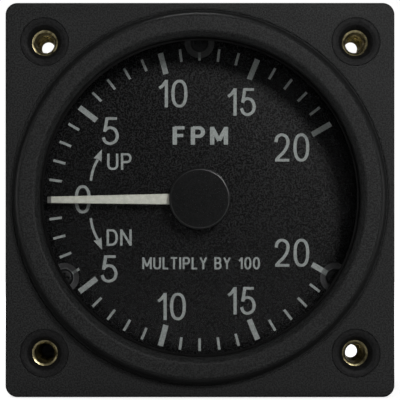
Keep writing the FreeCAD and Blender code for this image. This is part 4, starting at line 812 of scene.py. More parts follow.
boss_middle = block([(c_outline, GAP_FRONT), (c_outline, GAP_BACK)])

WEB_NEAR = 28.2
WEB_HALF = BOSS_RADIUS - 0.02
WEB_SIDE = 3.5
WEB_END = SKIRT_END - 0.02
webs = [
    radial_block(BOSS_ANGLE, WEB_NEAR, BOSS_DISTANCE - short, side_low, side_high, front, back)
    for short, side_low, side_high, front, back in (
        (2.65, -WEB_HALF, WEB_HALF, BOSS_FRONT, GAP_FRONT),
        (3.5, -WEB_HALF, WEB_HALF, GAP_BACK, WEB_END),
        (0.6, -WEB_HALF, -WEB_SIDE, BOSS_FRONT, WEB_END),
        (0.6, WEB_SIDE, WEB_HALF, BOSS_FRONT, WEB_END),
    )
]
bezel = make_piece(
    "moulded_flange",
    *combined(
        flange_edge, front_face, back_face, (ring_points, ring_faces), *wells,
        boss_low, boss_middle, boss_high, *webs,
    ),
)
place(bezel, "bezel_black", ROOT, "front_bezel")

# %% [markdown]
# The collars in the wells are a smoother black than the moulding. They get
# their own finish, picked by how near each face lies to a well's centre.

# %% Collars
well_black = (
    Finish("well_black", (0.0045, 0.0045, 0.0047), 0.6, specular=0.14)
    .mottle(4400, (0.0025, 0.0025, 0.0026), (0.0075, 0.0075, 0.0078), 0.36, 0.64, 0.0)
    .wear(600, 0.55, 0.65)
    .grain(4800, 0.7, 0.00006)
)
x, y, z = face_middles(bezel).T
from_well = np.min([np.hypot(x - cx, z - cz) for cx, cz in CORNERS], axis=0)
second_finish(bezel, well_black, (from_well < WELL_RADIUS - 0.03) & (y < FLANGE_BACK - 0.1))

# %% [markdown]
# ## Brass inserts
# Each insert is a turned bush with a dished mouth and a screw thread inside.
# The thread is a helix: the bore's radius rises and falls with the depth less
# the angle's share of one pitch. A grid of depth by angle gives it directly,
# where a Screw modifier would need a seam closed at both ends. The rear end is
# squeezed a little, as it is on inserts that grip their screw.

# %% Threaded inserts
def threaded_wall(
    radius, thread_depth, pitch, start, end, segments=WELL_SEGMENTS, per_pitch=8, squeeze=0.0
):
    """Rows of points of an internal thread: radius + h * (0.5 + 0.5 cos t),
    where t is one full turn per pitch, of the depth less pitch * angle / 2 pi.
    The thread fades in and out over half a pitch at each end. A squeeze s takes
    s * u^2 * (3 - 2 u) off the radius, with u from 0 to 1 over the rear part."""
    count = int((end - start) / pitch * per_pitch) + 2
    depth = np.linspace(start, end, count)[:, None]
    angle = np.linspace(0.0, 2 * np.pi, segments, endpoint=False)[None, :]
    phase = 2 * np.pi * depth / pitch - angle
    fade_in = np.clip((depth - start) / (0.5 * pitch), 0, 1)
    fade_out = np.clip((end - depth) / (0.5 * pitch), 0, 1)
    reach = radius + thread_depth * (0.5 + 0.5 * np.cos(phase)) * (fade_in * fade_out)
    if squeeze:
        along = np.clip((depth - start) / (end - start) * 1.6 - 0.6, 0, 1)
        reach = reach - squeeze * along**2 * (3 - 2 * along)
    depths = np.broadcast_to(depth, reach.shape)
    return np.stack([reach * np.cos(angle), depths, reach * np.sin(angle)], axis=-1)


def threaded_bush(rows_before, thread, rows_after, centre):
    """Closed skin: turned rows, then the thread, then turned rows back to the
    start, all on one set of angles."""
    segments = thread.shape[1]
    before, after = (
        turn_points(np.asarray(rows, float), (0, 0), segments).reshape(-1, segments, 3)
        for rows in (rows_before, rows_after)
    )
    rows = np.concatenate([before, thread, after]) + np.array([centre[0], 0.0, centre[1]])
    return rows.reshape(-1, 3), grid_faces(len(rows), segments, True)


INSERT_BORE = 1.36
THREAD_DEPTH = 0.28
THREAD_PITCH = 0.794
THREAD_START = 2.75
SQUEEZE = 0.36
insert_thread = threaded_wall(
    INSERT_BORE, THREAD_DEPTH, THREAD_PITCH, THREAD_START, FLANGE_BACK - 0.05, squeeze=SQUEEZE
)
insert_rows = rounded(
    [
        (INSERT_RADIUS, FLANGE_BACK),
        (INSERT_RADIUS, 1.75),
        (INSERT_RADIUS - 0.09, 1.7),
        (INSERT_RADIUS - 0.2, 1.73),  # the dish starts here
        (INSERT_BORE + 0.3, 1.85),
        (INSERT_BORE + 0.14, 2.03),
        (INSERT_BORE + 0.08, THREAD_START - 0.3),
        (INSERT_BORE, THREAD_START - 0.02),
    ],
    0.12,
)
insert_end = [(INSERT_BORE - SQUEEZE, FLANGE_BACK)]
inserts = [threaded_bush(insert_rows, insert_thread, insert_end, at) for at in CORNERS]
insert_piece = make_piece("threaded_inserts", *combined(*inserts))
place(insert_piece, "insert_brass", ROOT, "mounting_inserts")

# %% [markdown]
# ## Barrel
# The case's barrel is turned from one bar and coated black. Its skin is a single
# closed profile: spigot, seal groove, step and wall, with the open rims broken
# by small fillets. Four lugs inside take the cover's screws; each is a short
# tube that sinks into a web, as it would be milled, and overlaps the wall.

# %% Turned barrel
CASE_BACK = high("rear_cover")[1]
SPIGOT_FRONT = 15.0
SPIGOT_BORE = 26.0
SPIGOT_RADIUS = 27.44
SEAL_GROOVE = (17.22, 18.18)
GROOVE_FLOOR = 26.7
SPIGOT_END = 20.0
BARREL_BORE = 27.3
BORE_STEP_BACK = 21.6
BARREL_END = 66.0
COVER_SCREWS = [45.0, 135.0, 225.0, 315.0]
COVER_CIRCLE = 24.2
LUG_FRONT = 58.0
LUG_BACK = 63.6
LUG_RADIUS = 2.7
LUG_BORE = 1.1

spigot = rounded(
    [
        (SPIGOT_BORE, SPIGOT_FRONT),
        (SPIGOT_BORE, PANEL_BACK),
        (SPIGOT_RADIUS, PANEL_BACK),
        (SPIGOT_RADIUS, SEAL_GROOVE[0]),
        (GROOVE_FLOOR, SEAL_GROOVE[0]),
        (GROOVE_FLOOR, SEAL_GROOVE[1]),
        (SPIGOT_RADIUS, SEAL_GROOVE[1]),
        (SPIGOT_RADIUS, 19.0),
    ],
    0.12,
)
sleeve = rounded(
    [
        (SPIGOT_RADIUS, 19.2),
        (SPIGOT_RADIUS, SPIGOT_END),
        (SKIRT_OUTER, SPIGOT_END),
        (SKIRT_OUTER, BARREL_END),
        (BARREL_BORE, BARREL_END),
        (BARREL_BORE, BORE_STEP_BACK),
        (SPIGOT_BORE, BORE_STEP_BACK),
        (SPIGOT_BORE, SPIGOT_END),
    ],
    0.3,
    6,
)
lug = [
    (LUG_BORE, LUG_FRONT + 0.2),
    (LUG_BORE + 0.2, LUG_FRONT),
    (LUG_RADIUS, LUG_FRONT),
    (LUG_RADIUS, LUG_BACK),
    (LUG_BORE + 0.2, LUG_BACK),
    (LUG_BORE, LUG_BACK - 0.2),
]
barrel_parts = [lathe(np.concatenate([spigot, sleeve]), segments=256, loop=True)]
for degrees in COVER_SCREWS:
    barrel_parts.append(lathe(lug, on_circle(COVER_CIRCLE, degrees), 64, True))
    half = LUG_RADIUS - 0.04
    barrel_parts.append(
        radial_block(
            degrees, COVER_CIRCLE + 1.4, BARREL_BORE + 0.5, -half, half,
            LUG_FRONT + 0.02, LUG_BACK - 0.02,
        )
    )
barrel = make_piece("turned_barrel", *combined(*barrel_parts))
place(barrel, "case_black", ROOT, "case_barrel")

# %% [markdown]
# ## Rear cover
# The cover is a disc with a pilot and a seal groove. Both of its flat faces have
# five holes, so they are filled curves, and the rim between them is turned. The
# rim's corner is a cut chamfer with its two edges just broken.

# %% Turned cover
PORT_AT = (0.0, AXIS_UP)
PORT_SHANK = 4.8
COVER_FRONT = low("rear_cover")[1]
COVER_CHAMFER = 0.6
PILOT_RADIUS = 27.2
PILOT_GROOVE = (64.7, 65.7)
PILOT_FLOOR = 26.4
SCREW_HOLE = 1.2
FRONT_BORDER = 26.9
BACK_BORDER = 28.0
cover_rim = rounded(
    [
        (FRONT_BORDER, COVER_FRONT),
        (PILOT_RADIUS, COVER_FRONT),
        (PILOT_RADIUS, PILOT_GROOVE[0]),
        (PILOT_FLOOR, PILOT_GROOVE[0]),
        (PILOT_FLOOR, PILOT_GROOVE[1]),
        (PILOT_RADIUS, PILOT_GROOVE[1]),
        (PILOT_RADIUS, BARREL_END),
        (SKIRT_OUTER, BARREL_END),
        (SKIRT_OUTER, CASE_BACK - COVER_CHAMFER),
        (SKIRT_OUTER - COVER_CHAMFER, CASE_BACK),
        (BACK_BORDER, CASE_BACK),
    ],
    0.14,
)
cover_holes = [(PORT_AT, PORT_SHANK)]
cover_holes += [(on_circle(COVER_CIRCLE, degrees), SCREW_HOLE) for degrees in COVER_SCREWS]
cover_parts = [lathe(cover_rim, segments=256)]
for depth, radius in ((COVER_FRONT, FRONT_BORDER), (CASE_BACK, BACK_BORDER)):
    loops = [circle((0.0, 0.0), radius, 256)]
    loops += [circle(centre, hole, 72) for centre, hole in cover_holes]
    cover_parts.append(filled(loops, depth))
for centre, hole in cover_holes:
    cover_parts.append(lathe([(hole, COVER_FRONT), (hole, CASE_BACK)], centre, 72))
cover = make_piece("turned_cover", *combined(*cover_parts))
place(cover, "case_black", ROOT, "rear_cover")

# %% [markdown]
# ## Slotted screws
# A slotted screw's head is a disc below the slot's floor and two halves above
# it. Each half is a D-shaped block whose edge falls away toward the rim. The
# screw is made upright on its own seat, then laid along the direction in which
# it is driven: back for the cover, outward for the three that hold the barrel.

# %% Slotted screws
def half_disc(radius, gap, side, count=36):
    """Outline r (cos a, side * sin a), from where it is a gap away from the
    middle line on one end to the same on the other."""
    start = math.asin(gap / radius)
    angle = np.linspace(start, math.pi - start, count)
    return np.stack([radius * np.cos(angle), side * radius * np.sin(angle)], axis=-1)


def slotted_screw(head, face, height, slot, shank, length):
    """Screw on its seat: x and z lie across it and y is the height. The radius
    falls from head to face as 1 - cos t while the height rises as sin t."""
    floor = height * 0.48
    body = [
        (0.0, -length),
        (shank - 0.25, -length),
        (shank, -length + 0.3),
        (shank, 0.0),
        (head - 0.06, 0.0),
        (head, 0.08),
        (head, floor),
        (0.0, floor),
    ]
    shapes = [lathe(rounded(body, 0.05), segments=72)]
    for side in (1, -1):
        rows = [(half_disc(head, slot, side), floor - 0.01)]
        for t in np.linspace(0.0, 1.0, 6) * math.pi / 2:
            radius = head - (head - face) * (1 - math.cos(t))
            lift = (height - 0.12 - floor) * math.sin(t)
            rows.append((half_disc(radius, slot, side), floor + 0.1 + lift))
        rows.append((half_disc(face - 0.04, slot + 0.04, side), height))
        shapes.append(block(rows))
    return combined(*shapes)


def laid(surface, origin, outward, spin):
    """Turns an upright shape so that its height runs along a direction."""
    outward = mathutils.Vector(outward).normalized()
    turn = mathutils.Vector((0, 1, 0)).rotation_difference(outward).to_matrix()
    turn = turn @ mathutils.Matrix.Rotation(math.radians(spin), 3, "Y")
    points, faces = surface
    return points @ np.array(turn).T + np.array(origin), faces


cover_screw = slotted_screw(2.0, 1.75, 1.3, 0.28, 1.1, 7.0)
cover_set = []
for degrees, spin in zip(COVER_SCREWS, (12.0, -35.0, 64.0, 20.0)):
    x, z = on_circle(COVER_CIRCLE, degrees)
    cover_set.append(laid(cover_screw, (x, CASE_BACK, z), (0, 1, 0), spin))
cover_screw_piece = make_piece("cover_screws_fine", *combined(*cover_set))
place(cover_screw_piece, "screw_steel", ROOT, "rear_cover_screws")

CASE_SCREW_DEPTH = float(middle("case_screws")[1])
case_screw = slotted_screw(1.9, 1.33, 1.1, 0.26, 1.0, SKIRT_OUTER - SPIGOT_BORE)
case_set = []
for degrees, spin in zip((45.0, 135.0, 315.0), (30.0, 75.0, -15.0)):
    out_x, out_z = on_circle(1.0, degrees)
    seat = (SKIRT_OUTER * out_x, CASE_SCREW_DEPTH, SKIRT_OUTER * out_z)
    case_set.append(laid(case_screw, seat, (out_x, 0, out_z), spin))
case_screw_piece = make_piece("case_screws_fine", *combined(*case_set))
place(case_screw_piece, SLOT_OF["case_screws"], ROOT, "case_screws")

# %% [markdown]
# ## Port fitting
# The static port is a hexagonal fitting. A hexagon with its corners turned off
# is hard to model from a block and easy as a field: at every angle the surface
# lies at the lesser of the hexagon's radius and a shallow cone's, and the curved
# lines where the cone leaves the flats come out by themselves. The bore has a
# thread like the inserts' own, with a coarser pitch.

# %% Hexagonal fitting
PORT_END = high("static_port_fitting")[1]
NIPPLE_FRONT = low("static_port_fitting")[1]
NIPPLE_BORE = 0.8
NIPPLE_RADIUS = 1.8
SHANK_FRONT = 64.8
SHANK_RADIUS = PORT_SHANK - 0.02
PORT_BORE = 4.1
PORT_DEPTH = 8.0
PORT_THREAD = (0.42, 0.94)  # depth and pitch
HEX_HALF = 14.3 / 2
CONE_START = 6.85
CONE_SLOPE = 1.73
hex_angle = np.linspace(0.0, 2 * np.pi, 216, endpoint=False)
to_flat = (hex_angle + np.pi / 6) % (np.pi / 3) - np.pi / 6
hex_radius = np.minimum(HEX_HALF / np.cos(to_flat), HEX_HALF / np.cos(np.pi / 6) - 0.1)


def round_rows(profile):
    """Rows of points of a turned surface, one for each profile point."""
    profile = np.asarray(profile, float)
    return turn_points(profile, (0, 0), len(hex_angle)).reshape(-1, len(hex_angle), 3)


def hex_rows(start, end, count=14):
    """Rows of the hexagon between two depths: the lesser of the hexagon and
    the cone start + slope * (distance to the nearer end)."""
    near = np.linspace(0.0, 0.85, count)
    depths = np.concatenate([start + near, [(start + end) / 2], (end - near)[::-1]])[:, None]
    cone = CONE_START + CONE_SLOPE * np.minimum(depths - start, end - depths)
    reach = np.minimum(hex_radius, cone)
    depths = np.broadcast_to(depths, reach.shape)
    return np.stack([reach * np.cos(hex_angle), depths, reach * np.sin(hex_angle)], axis=-1)


nipple_and_shank = [
    (NIPPLE_BORE, NIPPLE_FRONT + 1.0),
    (NIPPLE_BORE, NIPPLE_FRONT),
    (NIPPLE_RADIUS, NIPPLE_FRONT),
    (NIPPLE_RADIUS, SHANK_FRONT),
    (SHANK_RADIUS, SHANK_FRONT),
    (SHANK_RADIUS, CASE_BACK),
    (6.6, CASE_BACK),
]
port_mouth = [
    (6.7, PORT_END),
    (5.25, PORT_END),
    (5.05, PORT_END - 0.06),
    (PORT_BORE, PORT_END - 0.5),
]
port_thread = threaded_wall(
    PORT_BORE, *PORT_THREAD, PORT_END - 7.6, PORT_END - 0.55, len(hex_angle), 10
)[::-1]
port_floor = [
    (PORT_BORE, PORT_END - PORT_DEPTH + 0.2),
    (PORT_BORE - 0.2, PORT_END - PORT_DEPTH),
    (1.0, PORT_END - PORT_DEPTH),
    (NIPPLE_BORE, PORT_END - PORT_DEPTH - 0.3),
]
port_rows = np.concatenate([
    round_rows(rounded(nipple_and_shank, 0.15)),
    hex_rows(CASE_BACK, PORT_END),
    round_rows(port_mouth),
    port_thread,
    round_rows(port_floor),
])
port_points = (port_rows + np.array([0.0, 0.0, AXIS_UP])).reshape(-1, 3)
port_faces = grid_faces(len(port_rows), len(hex_angle), True)
port = make_piece("port_fitting_fine", port_points, port_faces, 30.0)
place(port, "fitting_aluminium", ROOT, "static_port_fitting")

# %% [markdown]
# ## Window and gasket
# The window is a plain disc with ground edges, and the gasket a flat ring whose
# lip just shows inside the opening. Both are turned, because a profile lets the
# gasket's lip be bent, where a torus would be round.

# %% Window
GLASS_FRONT = low("window_glass")[1]
GLASS_BACK = high("window_glass")[1]
GLASS_RADIUS = high("window_glass")[0]
GLASS_BREAK = 0.3
window = make_piece(
    "window_pane",
    *lathe([
        (0.0, GLASS_FRONT),
        (GLASS_RADIUS - GLASS_BREAK, GLASS_FRONT),
        (GLASS_RADIUS, GLASS_FRONT + GLASS_BREAK),
        (GLASS_RADIUS, GLASS_BACK - GLASS_BREAK),
        (GLASS_RADIUS - GLASS_BREAK, GLASS_BACK),
        (0.0, GLASS_BACK),
    ]),
)
place(window, "window_glass", ROOT, "window_glass")

GASKET_BACK = -0.8
GASKET_OUTER = GLASS_RADIUS - 0.05
gasket_profile = [
    (LIP_RADIUS - 0.36, GASKET_BACK),
    (LIP_RADIUS - 0.4, LIP_BACK - 0.05),
    (LIP_RADIUS - 0.02, LIP_BACK - 0.05),
    (LIP_RADIUS + 0.08, LIP_BACK),
    (GASKET_OUTER, LIP_BACK),
    (GASKET_OUTER, GASKET_BACK),
    (LIP_RADIUS - 0.32, GASKET_BACK),
]
gasket = make_piece("window_seal", *lathe(rounded(gasket_profile, 0.08), loop=True))
place(gasket, "seal_rubber", ROOT, "window_gasket")

# %% [markdown]
# ## Dial
# The dial is sheet metal with three pressed dimples that carry its screws. Each
# dimple is a small lathe profile whose rim is also a hole's border in the flat
# face, front and back. Pushing the points of one fine grid would also make a
# dimple, but would spend thousands of faces on the flat.

# %% Dial plate
DIAL_BACK = DIAL_FRONT + 0.5
DIAL_HOLE = 3.0
BORDER = 0.06
DIMPLES = [on_circle(24.3, degrees) for degrees in (90, 210, 330)]
DIMPLE_RADIUS = 2.33
DIMPLE_BORDER = DIMPLE_RADIUS + 0.08
DIMPLE_FLOOR = 1.5
DIMPLE_HOLE = 0.8
DIMPLE_DEPTH = 0.8
FLOOR_DEPTH = DIAL_FRONT + DIMPLE_DEPTH
dimple_front = rounded(
    [
        (DIMPLE_BORDER, DIAL_FRONT),
        (DIMPLE_RADIUS, DIAL_FRONT),
        (DIMPLE_FLOOR, FLOOR_DEPTH),
        (DIMPLE_HOLE, FLOOR_DEPTH),
    ],
    0.12,
    4,
)
dimple_back = rounded(
    [
        (DIMPLE_HOLE, FLOOR_DEPTH),
        (DIMPLE_HOLE, FLANGE_BACK),
        (DIMPLE_FLOOR + 0.25, FLANGE_BACK),
        (DIMPLE_BORDER, DIAL_BACK),
    ],
    0.1,
    3,
)
dimple_profile = np.concatenate([dimple_front, dimple_back[1:]])


def edge_profile(border, radius):
    """Profile of a plain edge between the dial's two faces."""
    corners = [(border, DIAL_FRONT), (radius, DIAL_FRONT), (radius, DIAL_BACK), (border, DIAL_BACK)]
    return rounded(corners, 0.05)


dial_loops = [
    circle((0, 0), DIAL_RADIUS - BORDER, RING_SEGMENTS),
    circle((0, 0), DIAL_HOLE + BORDER, 96),
    *[circle(centre, DIMPLE_BORDER, 96) for centre in DIMPLES],
]
dial = make_piece(
    "printed_dial",
    *combined(
        filled(dial_loops, DIAL_FRONT),
        filled(dial_loops, DIAL_BACK),
        lathe(edge_profile(DIAL_RADIUS - BORDER, DIAL_RADIUS), segments=RING_SEGMENTS),
        lathe(edge_profile(DIAL_HOLE + BORDER, DIAL_HOLE), segments=96),
        *[lathe(dimple_profile, centre, 96) for centre in DIMPLES],
    ),
)
place(dial, "dial_black", ROOT, "dial_plate")

# %% [markdown]
# The slopes of the dimples carry a lighter grey, a painted reflection of the
# light that the pressed cones catch. They get their own finish, picked by how
# far each face's middle lies from the nearest dimple's centre.

# %% Slopes with a painted reflection
# Lighter grey on the slopes: a painted reflection of the light the cones catch.
dimple_painted_reflection = (
    Finish("dimple_painted_reflection", (0.075, 0.075, 0.076), 0.55, specular=0.3)
    .mottle(2600, (0.062, 0.062, 0.063), (0.09, 0.09, 0.092))
    .wear(1500, 0.48, 0.62)
)
x, y, z = face_middles(dial).T
away = np.min([np.hypot(x - cx, z - cz) for cx, cz in DIMPLES], axis=0)
second_finish(dial, dimple_painted_reflection, (away < DIMPLE_RADIUS - 0.03) & (y < FLOOR_DEPTH + 0.02))

# %% [markdown]
# ## Dial screws
# Three small pan screws with a cross recess. The recess is a plus-shaped loop:
# its border is a hole in the head's flat top, and its own fill is the floor.

# %% Cross recess screws
HEAD_FLAT = 0.96
HEAD_RADIUS = 1.37
SHANK = 0.7
SHANK_END = 10.2
CROSS_TOP = (0.75, 0.17)
CROSS_FLOOR = (0.6, 0.15)
CROSS_DEPTH = 0.4


def plus_loop(centre, halves):
    """Twelve corners of a plus sign, from its long and short half widths."""
    a, b = halves
    quarter = np.array([(a, -b), (a, b), (b, b)])
    turns = [quarter]
    for _ in range(3):
        turns.append(np.stack([-turns[-1][:, 1], turns[-1][:, 0]], axis=-1))
    return np.concatenate(turns) + np.array(centre)


def cross_screw(centre):
    """Head with a dished edge, a plus recess and a plain shank."""
    floor_at = DIAL_FRONT + CROSS_DEPTH
    top_loop = plus_loop(centre, CROSS_TOP)
    floor_loop = plus_loop(centre, CROSS_FLOOR)
    side = rounded(
        [
            (HEAD_FLAT, DIAL_FRONT),
            (1.15, DIAL_FRONT + 0.06),
            (HEAD_RADIUS, floor_at),
            (HEAD_RADIUS, FLOOR_DEPTH),
            (SHANK, FLOOR_DEPTH),
            (SHANK, SHANK_END - 0.1),
            (SHANK - 0.1, SHANK_END),
            (0.0, SHANK_END),
        ],
        0.12,
    )
    return combined(
        filled([circle(centre, HEAD_FLAT, 72), top_loop], DIAL_FRONT),
        wall([(top_loop, DIAL_FRONT), (floor_loop, floor_at)]),
        filled([floor_loop], floor_at),
        lathe(side, centre, 72),
    )


screws = make_piece("dial_screws_fine", *combined(*[cross_screw(d) for d in DIMPLES]), 50.0)
place(screws, "screw_black", ROOT, "dial_screws")

# %% [markdown]
# ## Pointer
# The blade is thin sheet with a small chamfer along its front edges and a
# sloped tip. Its cross-section is the same six-sided shape all along, so it is a
# section carried along the blade, narrower and lower at each station. The tip's
# slope carries a darker grey, painted shade on the chamfer, in a second finish.

# %% Blade
POINTER_FRONT = low("pointer_blade")[1]
POINTER_BACK = high("pointer_blade")[1]
REST_DROP = math.radians(0.35)
TIP_REACH = 23.5
CHAMFER = 0.1
stations = [
    # distance left of the axis, half width, front depth
    (-2.6, 0.86, POINTER_FRONT),
    (2.6, 0.86, POINTER_FRONT),
    (TIP_REACH - 0.62, 0.51, POINTER_FRONT),
    (TIP_REACH, 0.50, POINTER_BACK - 0.05),
]


def blade_section(reach, half, front):
    """Six points of the blade's section at a distance from the axis, with
    chamfered front edges, turned by the angle at which the pointer rests:
    x cos a - z sin a across, x sin a + z cos a up."""
    edge = min(CHAMFER, (POINTER_BACK - front) * 0.5)
    z = np.array([half, half, half - CHAMFER, -half + CHAMFER, -half, -half])
    y = np.array([POINTER_BACK, front + edge, front, front, front + edge, POINTER_BACK])
    across = -reach * math.cos(REST_DROP) - z * math.sin(REST_DROP)
    upward = -reach * math.sin(REST_DROP) + z * math.cos(REST_DROP)
    return np.stack([across, y, upward], axis=-1)


blade_points = np.concatenate([blade_section(*station) for station in stations])
last = len(blade_points)
blade_faces = grid_faces(len(stations), 6) + [tuple(range(6)), tuple(range(last - 6, last))]
blade = make_piece("pointer_blade_fine", blade_points, blade_faces, 20.0)
place(blade, "pointer_white", "pointer", "pointer_blade")
# Darker grey on the tip's slope: painted shade on the chamfered end.
tip_painted_shade = (
    Finish("tip_painted_shade", (0.17, 0.17, 0.16), 0.6, specular=0.2)
    .mottle(2400, (0.14, 0.14, 0.13), (0.2, 0.2, 0.187))
    .wear(900, 0.55, 0.7)
)
second_finish(blade, tip_painted_shade, face_middles(blade)[:, 0] < -TIP_REACH + 0.6)

# %% [markdown]
# ## Hub cap
# The hub cap is a turned button. Its rounded rim is what draws the thin bright
# arc at the upper right, so the radius is modelled rather than painted, and the
# rim is a little glossier than the face, as a rubbed edge is.

# %% Hub cap
HUB_RADIUS = high("pointer_hub_cap")[0]
HUB_FRONT = low("pointer_hub_cap")[1]
HUB_BACK = high("pointer_hub_cap")[1]
HUB_ROUND = 0.32
hub_profile = rounded(
    [(0.0, HUB_FRONT), (HUB_RADIUS, HUB_FRONT), (HUB_RADIUS, HUB_BACK), (0.0, HUB_BACK)],
    HUB_ROUND,
    8,
)
hub = make_piece("pointer_hub_fine", *lathe(hub_profile))
place(hub, "hub_black", "pointer", "pointer_hub_cap")
hub_edge = (
    Finish("hub_edge", (0.003, 0.0032, 0.0032), 0.3, specular=0.5)
    .mottle(2600, (0.002, 0.0022, 0.0022), (0.005, 0.0054, 0.0054))
    .wear(1800, 0.28, 0.36)
)
x, y, z = face_middles(hub).T
on_rim = (np.hypot(x, z) > HUB_RADIUS - HUB_ROUND + 0.005) & (y < HUB_FRONT + 0.3)
second_finish(hub, hub_edge, on_rim)

# %% [markdown]
# ## Dial print
# The scale is screen printed: a film of ink a few hundredths of a millimetre
# thick. Ticks and strokes are made as real thin slabs, because an image texture
# would blur up close. The ink follows the dial, so where a tick reaches a
# pressed dimple it bends down into it.

# %% Ink slabs
INK_THICK = 0.035
INK_SUNK = 0.01
INK_STEP = 0.0015  # crossing strokes lie this much apart, so no two faces meet
PRINT_SCALE = 0.1555
PICTURE_CENTRE = (198.9, 199.6)


def dial_place(px, py):
    """Place on the dial of a point of the 400 x 400 picture."""
    return (px - PICTURE_CENTRE[0]) * PRINT_SCALE, (PICTURE_CENTRE[1] - py) * PRINT_SCALE


def dimple_drop(x, z):
    """How far the dial's face lies back at (x, z): zero outside the dimples,
    then falling in a straight cone to the dimple's floor."""
    drop = np.zeros_like(x)
    for centre in DIMPLES:
        away = np.hypot(x - centre[0], z - centre[1])
        slope = np.clip((DIMPLE_RADIUS - away) / (DIMPLE_RADIUS - DIMPLE_FLOOR), 0, 1)
        drop = np.maximum(drop, slope * DIMPLE_DEPTH)
    return drop


def ribbon(path, across, up=None, closed=False, lift=0.0):
    """Slab of ink along a path. Its width is the mean of across and up, weighted
    by how much the unit tangent rises and runs, and goes half to either side."""
    path = np.asarray(path, float)
    up = across if up is None else up
    if closed:
        tangent = np.roll(path, -1, axis=0) - np.roll(path, 1, axis=0)
    else:
        tangent = np.gradient(path, axis=0)
    tangent = tangent / np.hypot(tangent[:, 0], tangent[:, 1])[:, None]
    share = np.abs(tangent) / np.abs(tangent).sum(axis=1)[:, None]
    half = 0.5 * (across * share[:, 1] + up * share[:, 0])
    side = np.stack([-tangent[:, 1], tangent[:, 0]], axis=-1) * half[:, None]
    left = path + side
    right = path - side
    front = DIAL_FRONT - INK_THICK - lift
    back = DIAL_FRONT + INK_SUNK
    rows = []
    for edge, depth in ((left, front), (right, front), (right, back), (left, back)):
        y = depth + dimple_drop(edge[:, 0], edge[:, 1])
        rows.append(np.stack([edge[:, 0], y, edge[:, 1]], axis=-1))
    points = np.stack(rows, axis=1).reshape(-1, 3)
    faces = grid_faces(len(path), 4, closed)
    if not closed:
        last = len(points) - 4
        faces += [(3, 2, 1, 0), (last, last + 1, last + 2, last + 3)]
    return points, faces


print("ink", INK_THICK, "mm thick")

# %% [markdown]
# ## Ticks
# One unit of the scale is 7.5 degrees, so twenty units sweep 150 degrees up or
# down from the left. Every fifth tick is longer and twice as wide.

# %% Ticks
UNIT_ANGLE = math.radians(7.5)
TICK_OUTER = 23.55
MAJOR_INNER, MAJOR_WIDTH = 20.2, 0.84
MINOR_INNER, MINOR_WIDTH = 21.6, 0.40
ticks = []
for unit in range(-20, 21):
    major = unit % 5 == 0
    reach = np.linspace(MAJOR_INNER if major else MINOR_INNER, TICK_OUTER, 14)
    angle = unit * UNIT_ANGLE
    path = np.stack([-reach * math.cos(angle), reach * math.sin(angle)], axis=-1)
    ticks.append(ribbon(path, MAJOR_WIDTH if major else MINOR_WIDTH))
print(len(ticks), "ticks")

# %% [markdown]
# ## Strokes of the numerals
# The numerals are an engraver's plain strokes. Each glyph is a few paths in a
# box one wide and one high: straight runs, quarter ovals, and smooth curves
# through points. The curves are Catmull-Rom: each span is a cubic whose slope at
# a point is half the vector between its neighbours.

# %% Stroke paths
def line(*points):
    """Straight run, a few points per span."""
    points = np.array(points, float)
    steps = np.linspace(0.0, 1.0, 6)[:, None]
    spans = [a + (b - a) * steps for a, b in zip(points[:-1], points[1:])]
    return np.concatenate([spans[0]] + [s[1:] for s in spans[1:]])


def bend(*points):
    """Smooth curve through the points: with a, b, c and d in a row, the span
    from b to c is half of 2b + (c-a)t + (2a-5b+4c-d)t^2 + (3b-a-3c+d)t^3."""
    points = np.array(points, float)
    first = 2 * points[0] - points[1]
    last = 2 * points[-1] - points[-2]
    padded = np.concatenate([[first], points, [last]])
    t = np.linspace(0.0, 1.0, 9)[:-1, None]
    out = []
    for a, b, c, d in zip(padded[:-3], padded[1:-2], padded[2:-1], padded[3:]):
        square = (2 * a - 5 * b + 4 * c - d) * t**2
        cube = (3 * b - a - 3 * c + d) * t**3
        out.append(0.5 * (2 * b + (c - a) * t + square + cube))
    return np.concatenate(out + [points[-1:]])


def oval(x, z, wide, high, start, end, power=2.2, count=32):
    """Arc of a superellipse: centre plus half sizes times cosine and sine, each
    raised to 2 / power with its sign kept."""
    angle = np.radians(np.linspace(start, end, count))
    c, s = np.cos(angle), np.sin(angle)
    across = x + wide * np.sign(c) * np.abs(c) ** (2 / power)
    upward = z + high * np.sign(s) * np.abs(s) ** (2 / power)
    return np.stack([across, upward], axis=-1)


def hook(start, curve, end):
    """Run, curve and run in one path."""
    return np.concatenate([line(start, curve[0])[:-1], curve, line(curve[-1], end)[1:]])


def bowl(top, bottom, start, reach=1.0):
    """Rounded belly of a letter: a run right, half an oval, and a run back."""
    middle_z = (top + bottom) / 2
    half_z = (top - bottom) / 2
    return hook((0, top), oval(start, middle_z, reach - start, half_z, 90, -90), (0, bottom))


print("stroke helpers ready")

# %% [markdown]
# ## Glyphs
# Each glyph is its width against its height, and its paths. An outline font
# would be quicker, but its shapes carry a designer's hand and its edges too
# many points, while strokes of one width are how a dial's maker draws them. An
# upright runs a little past its box, so that its squared end meets the corner.

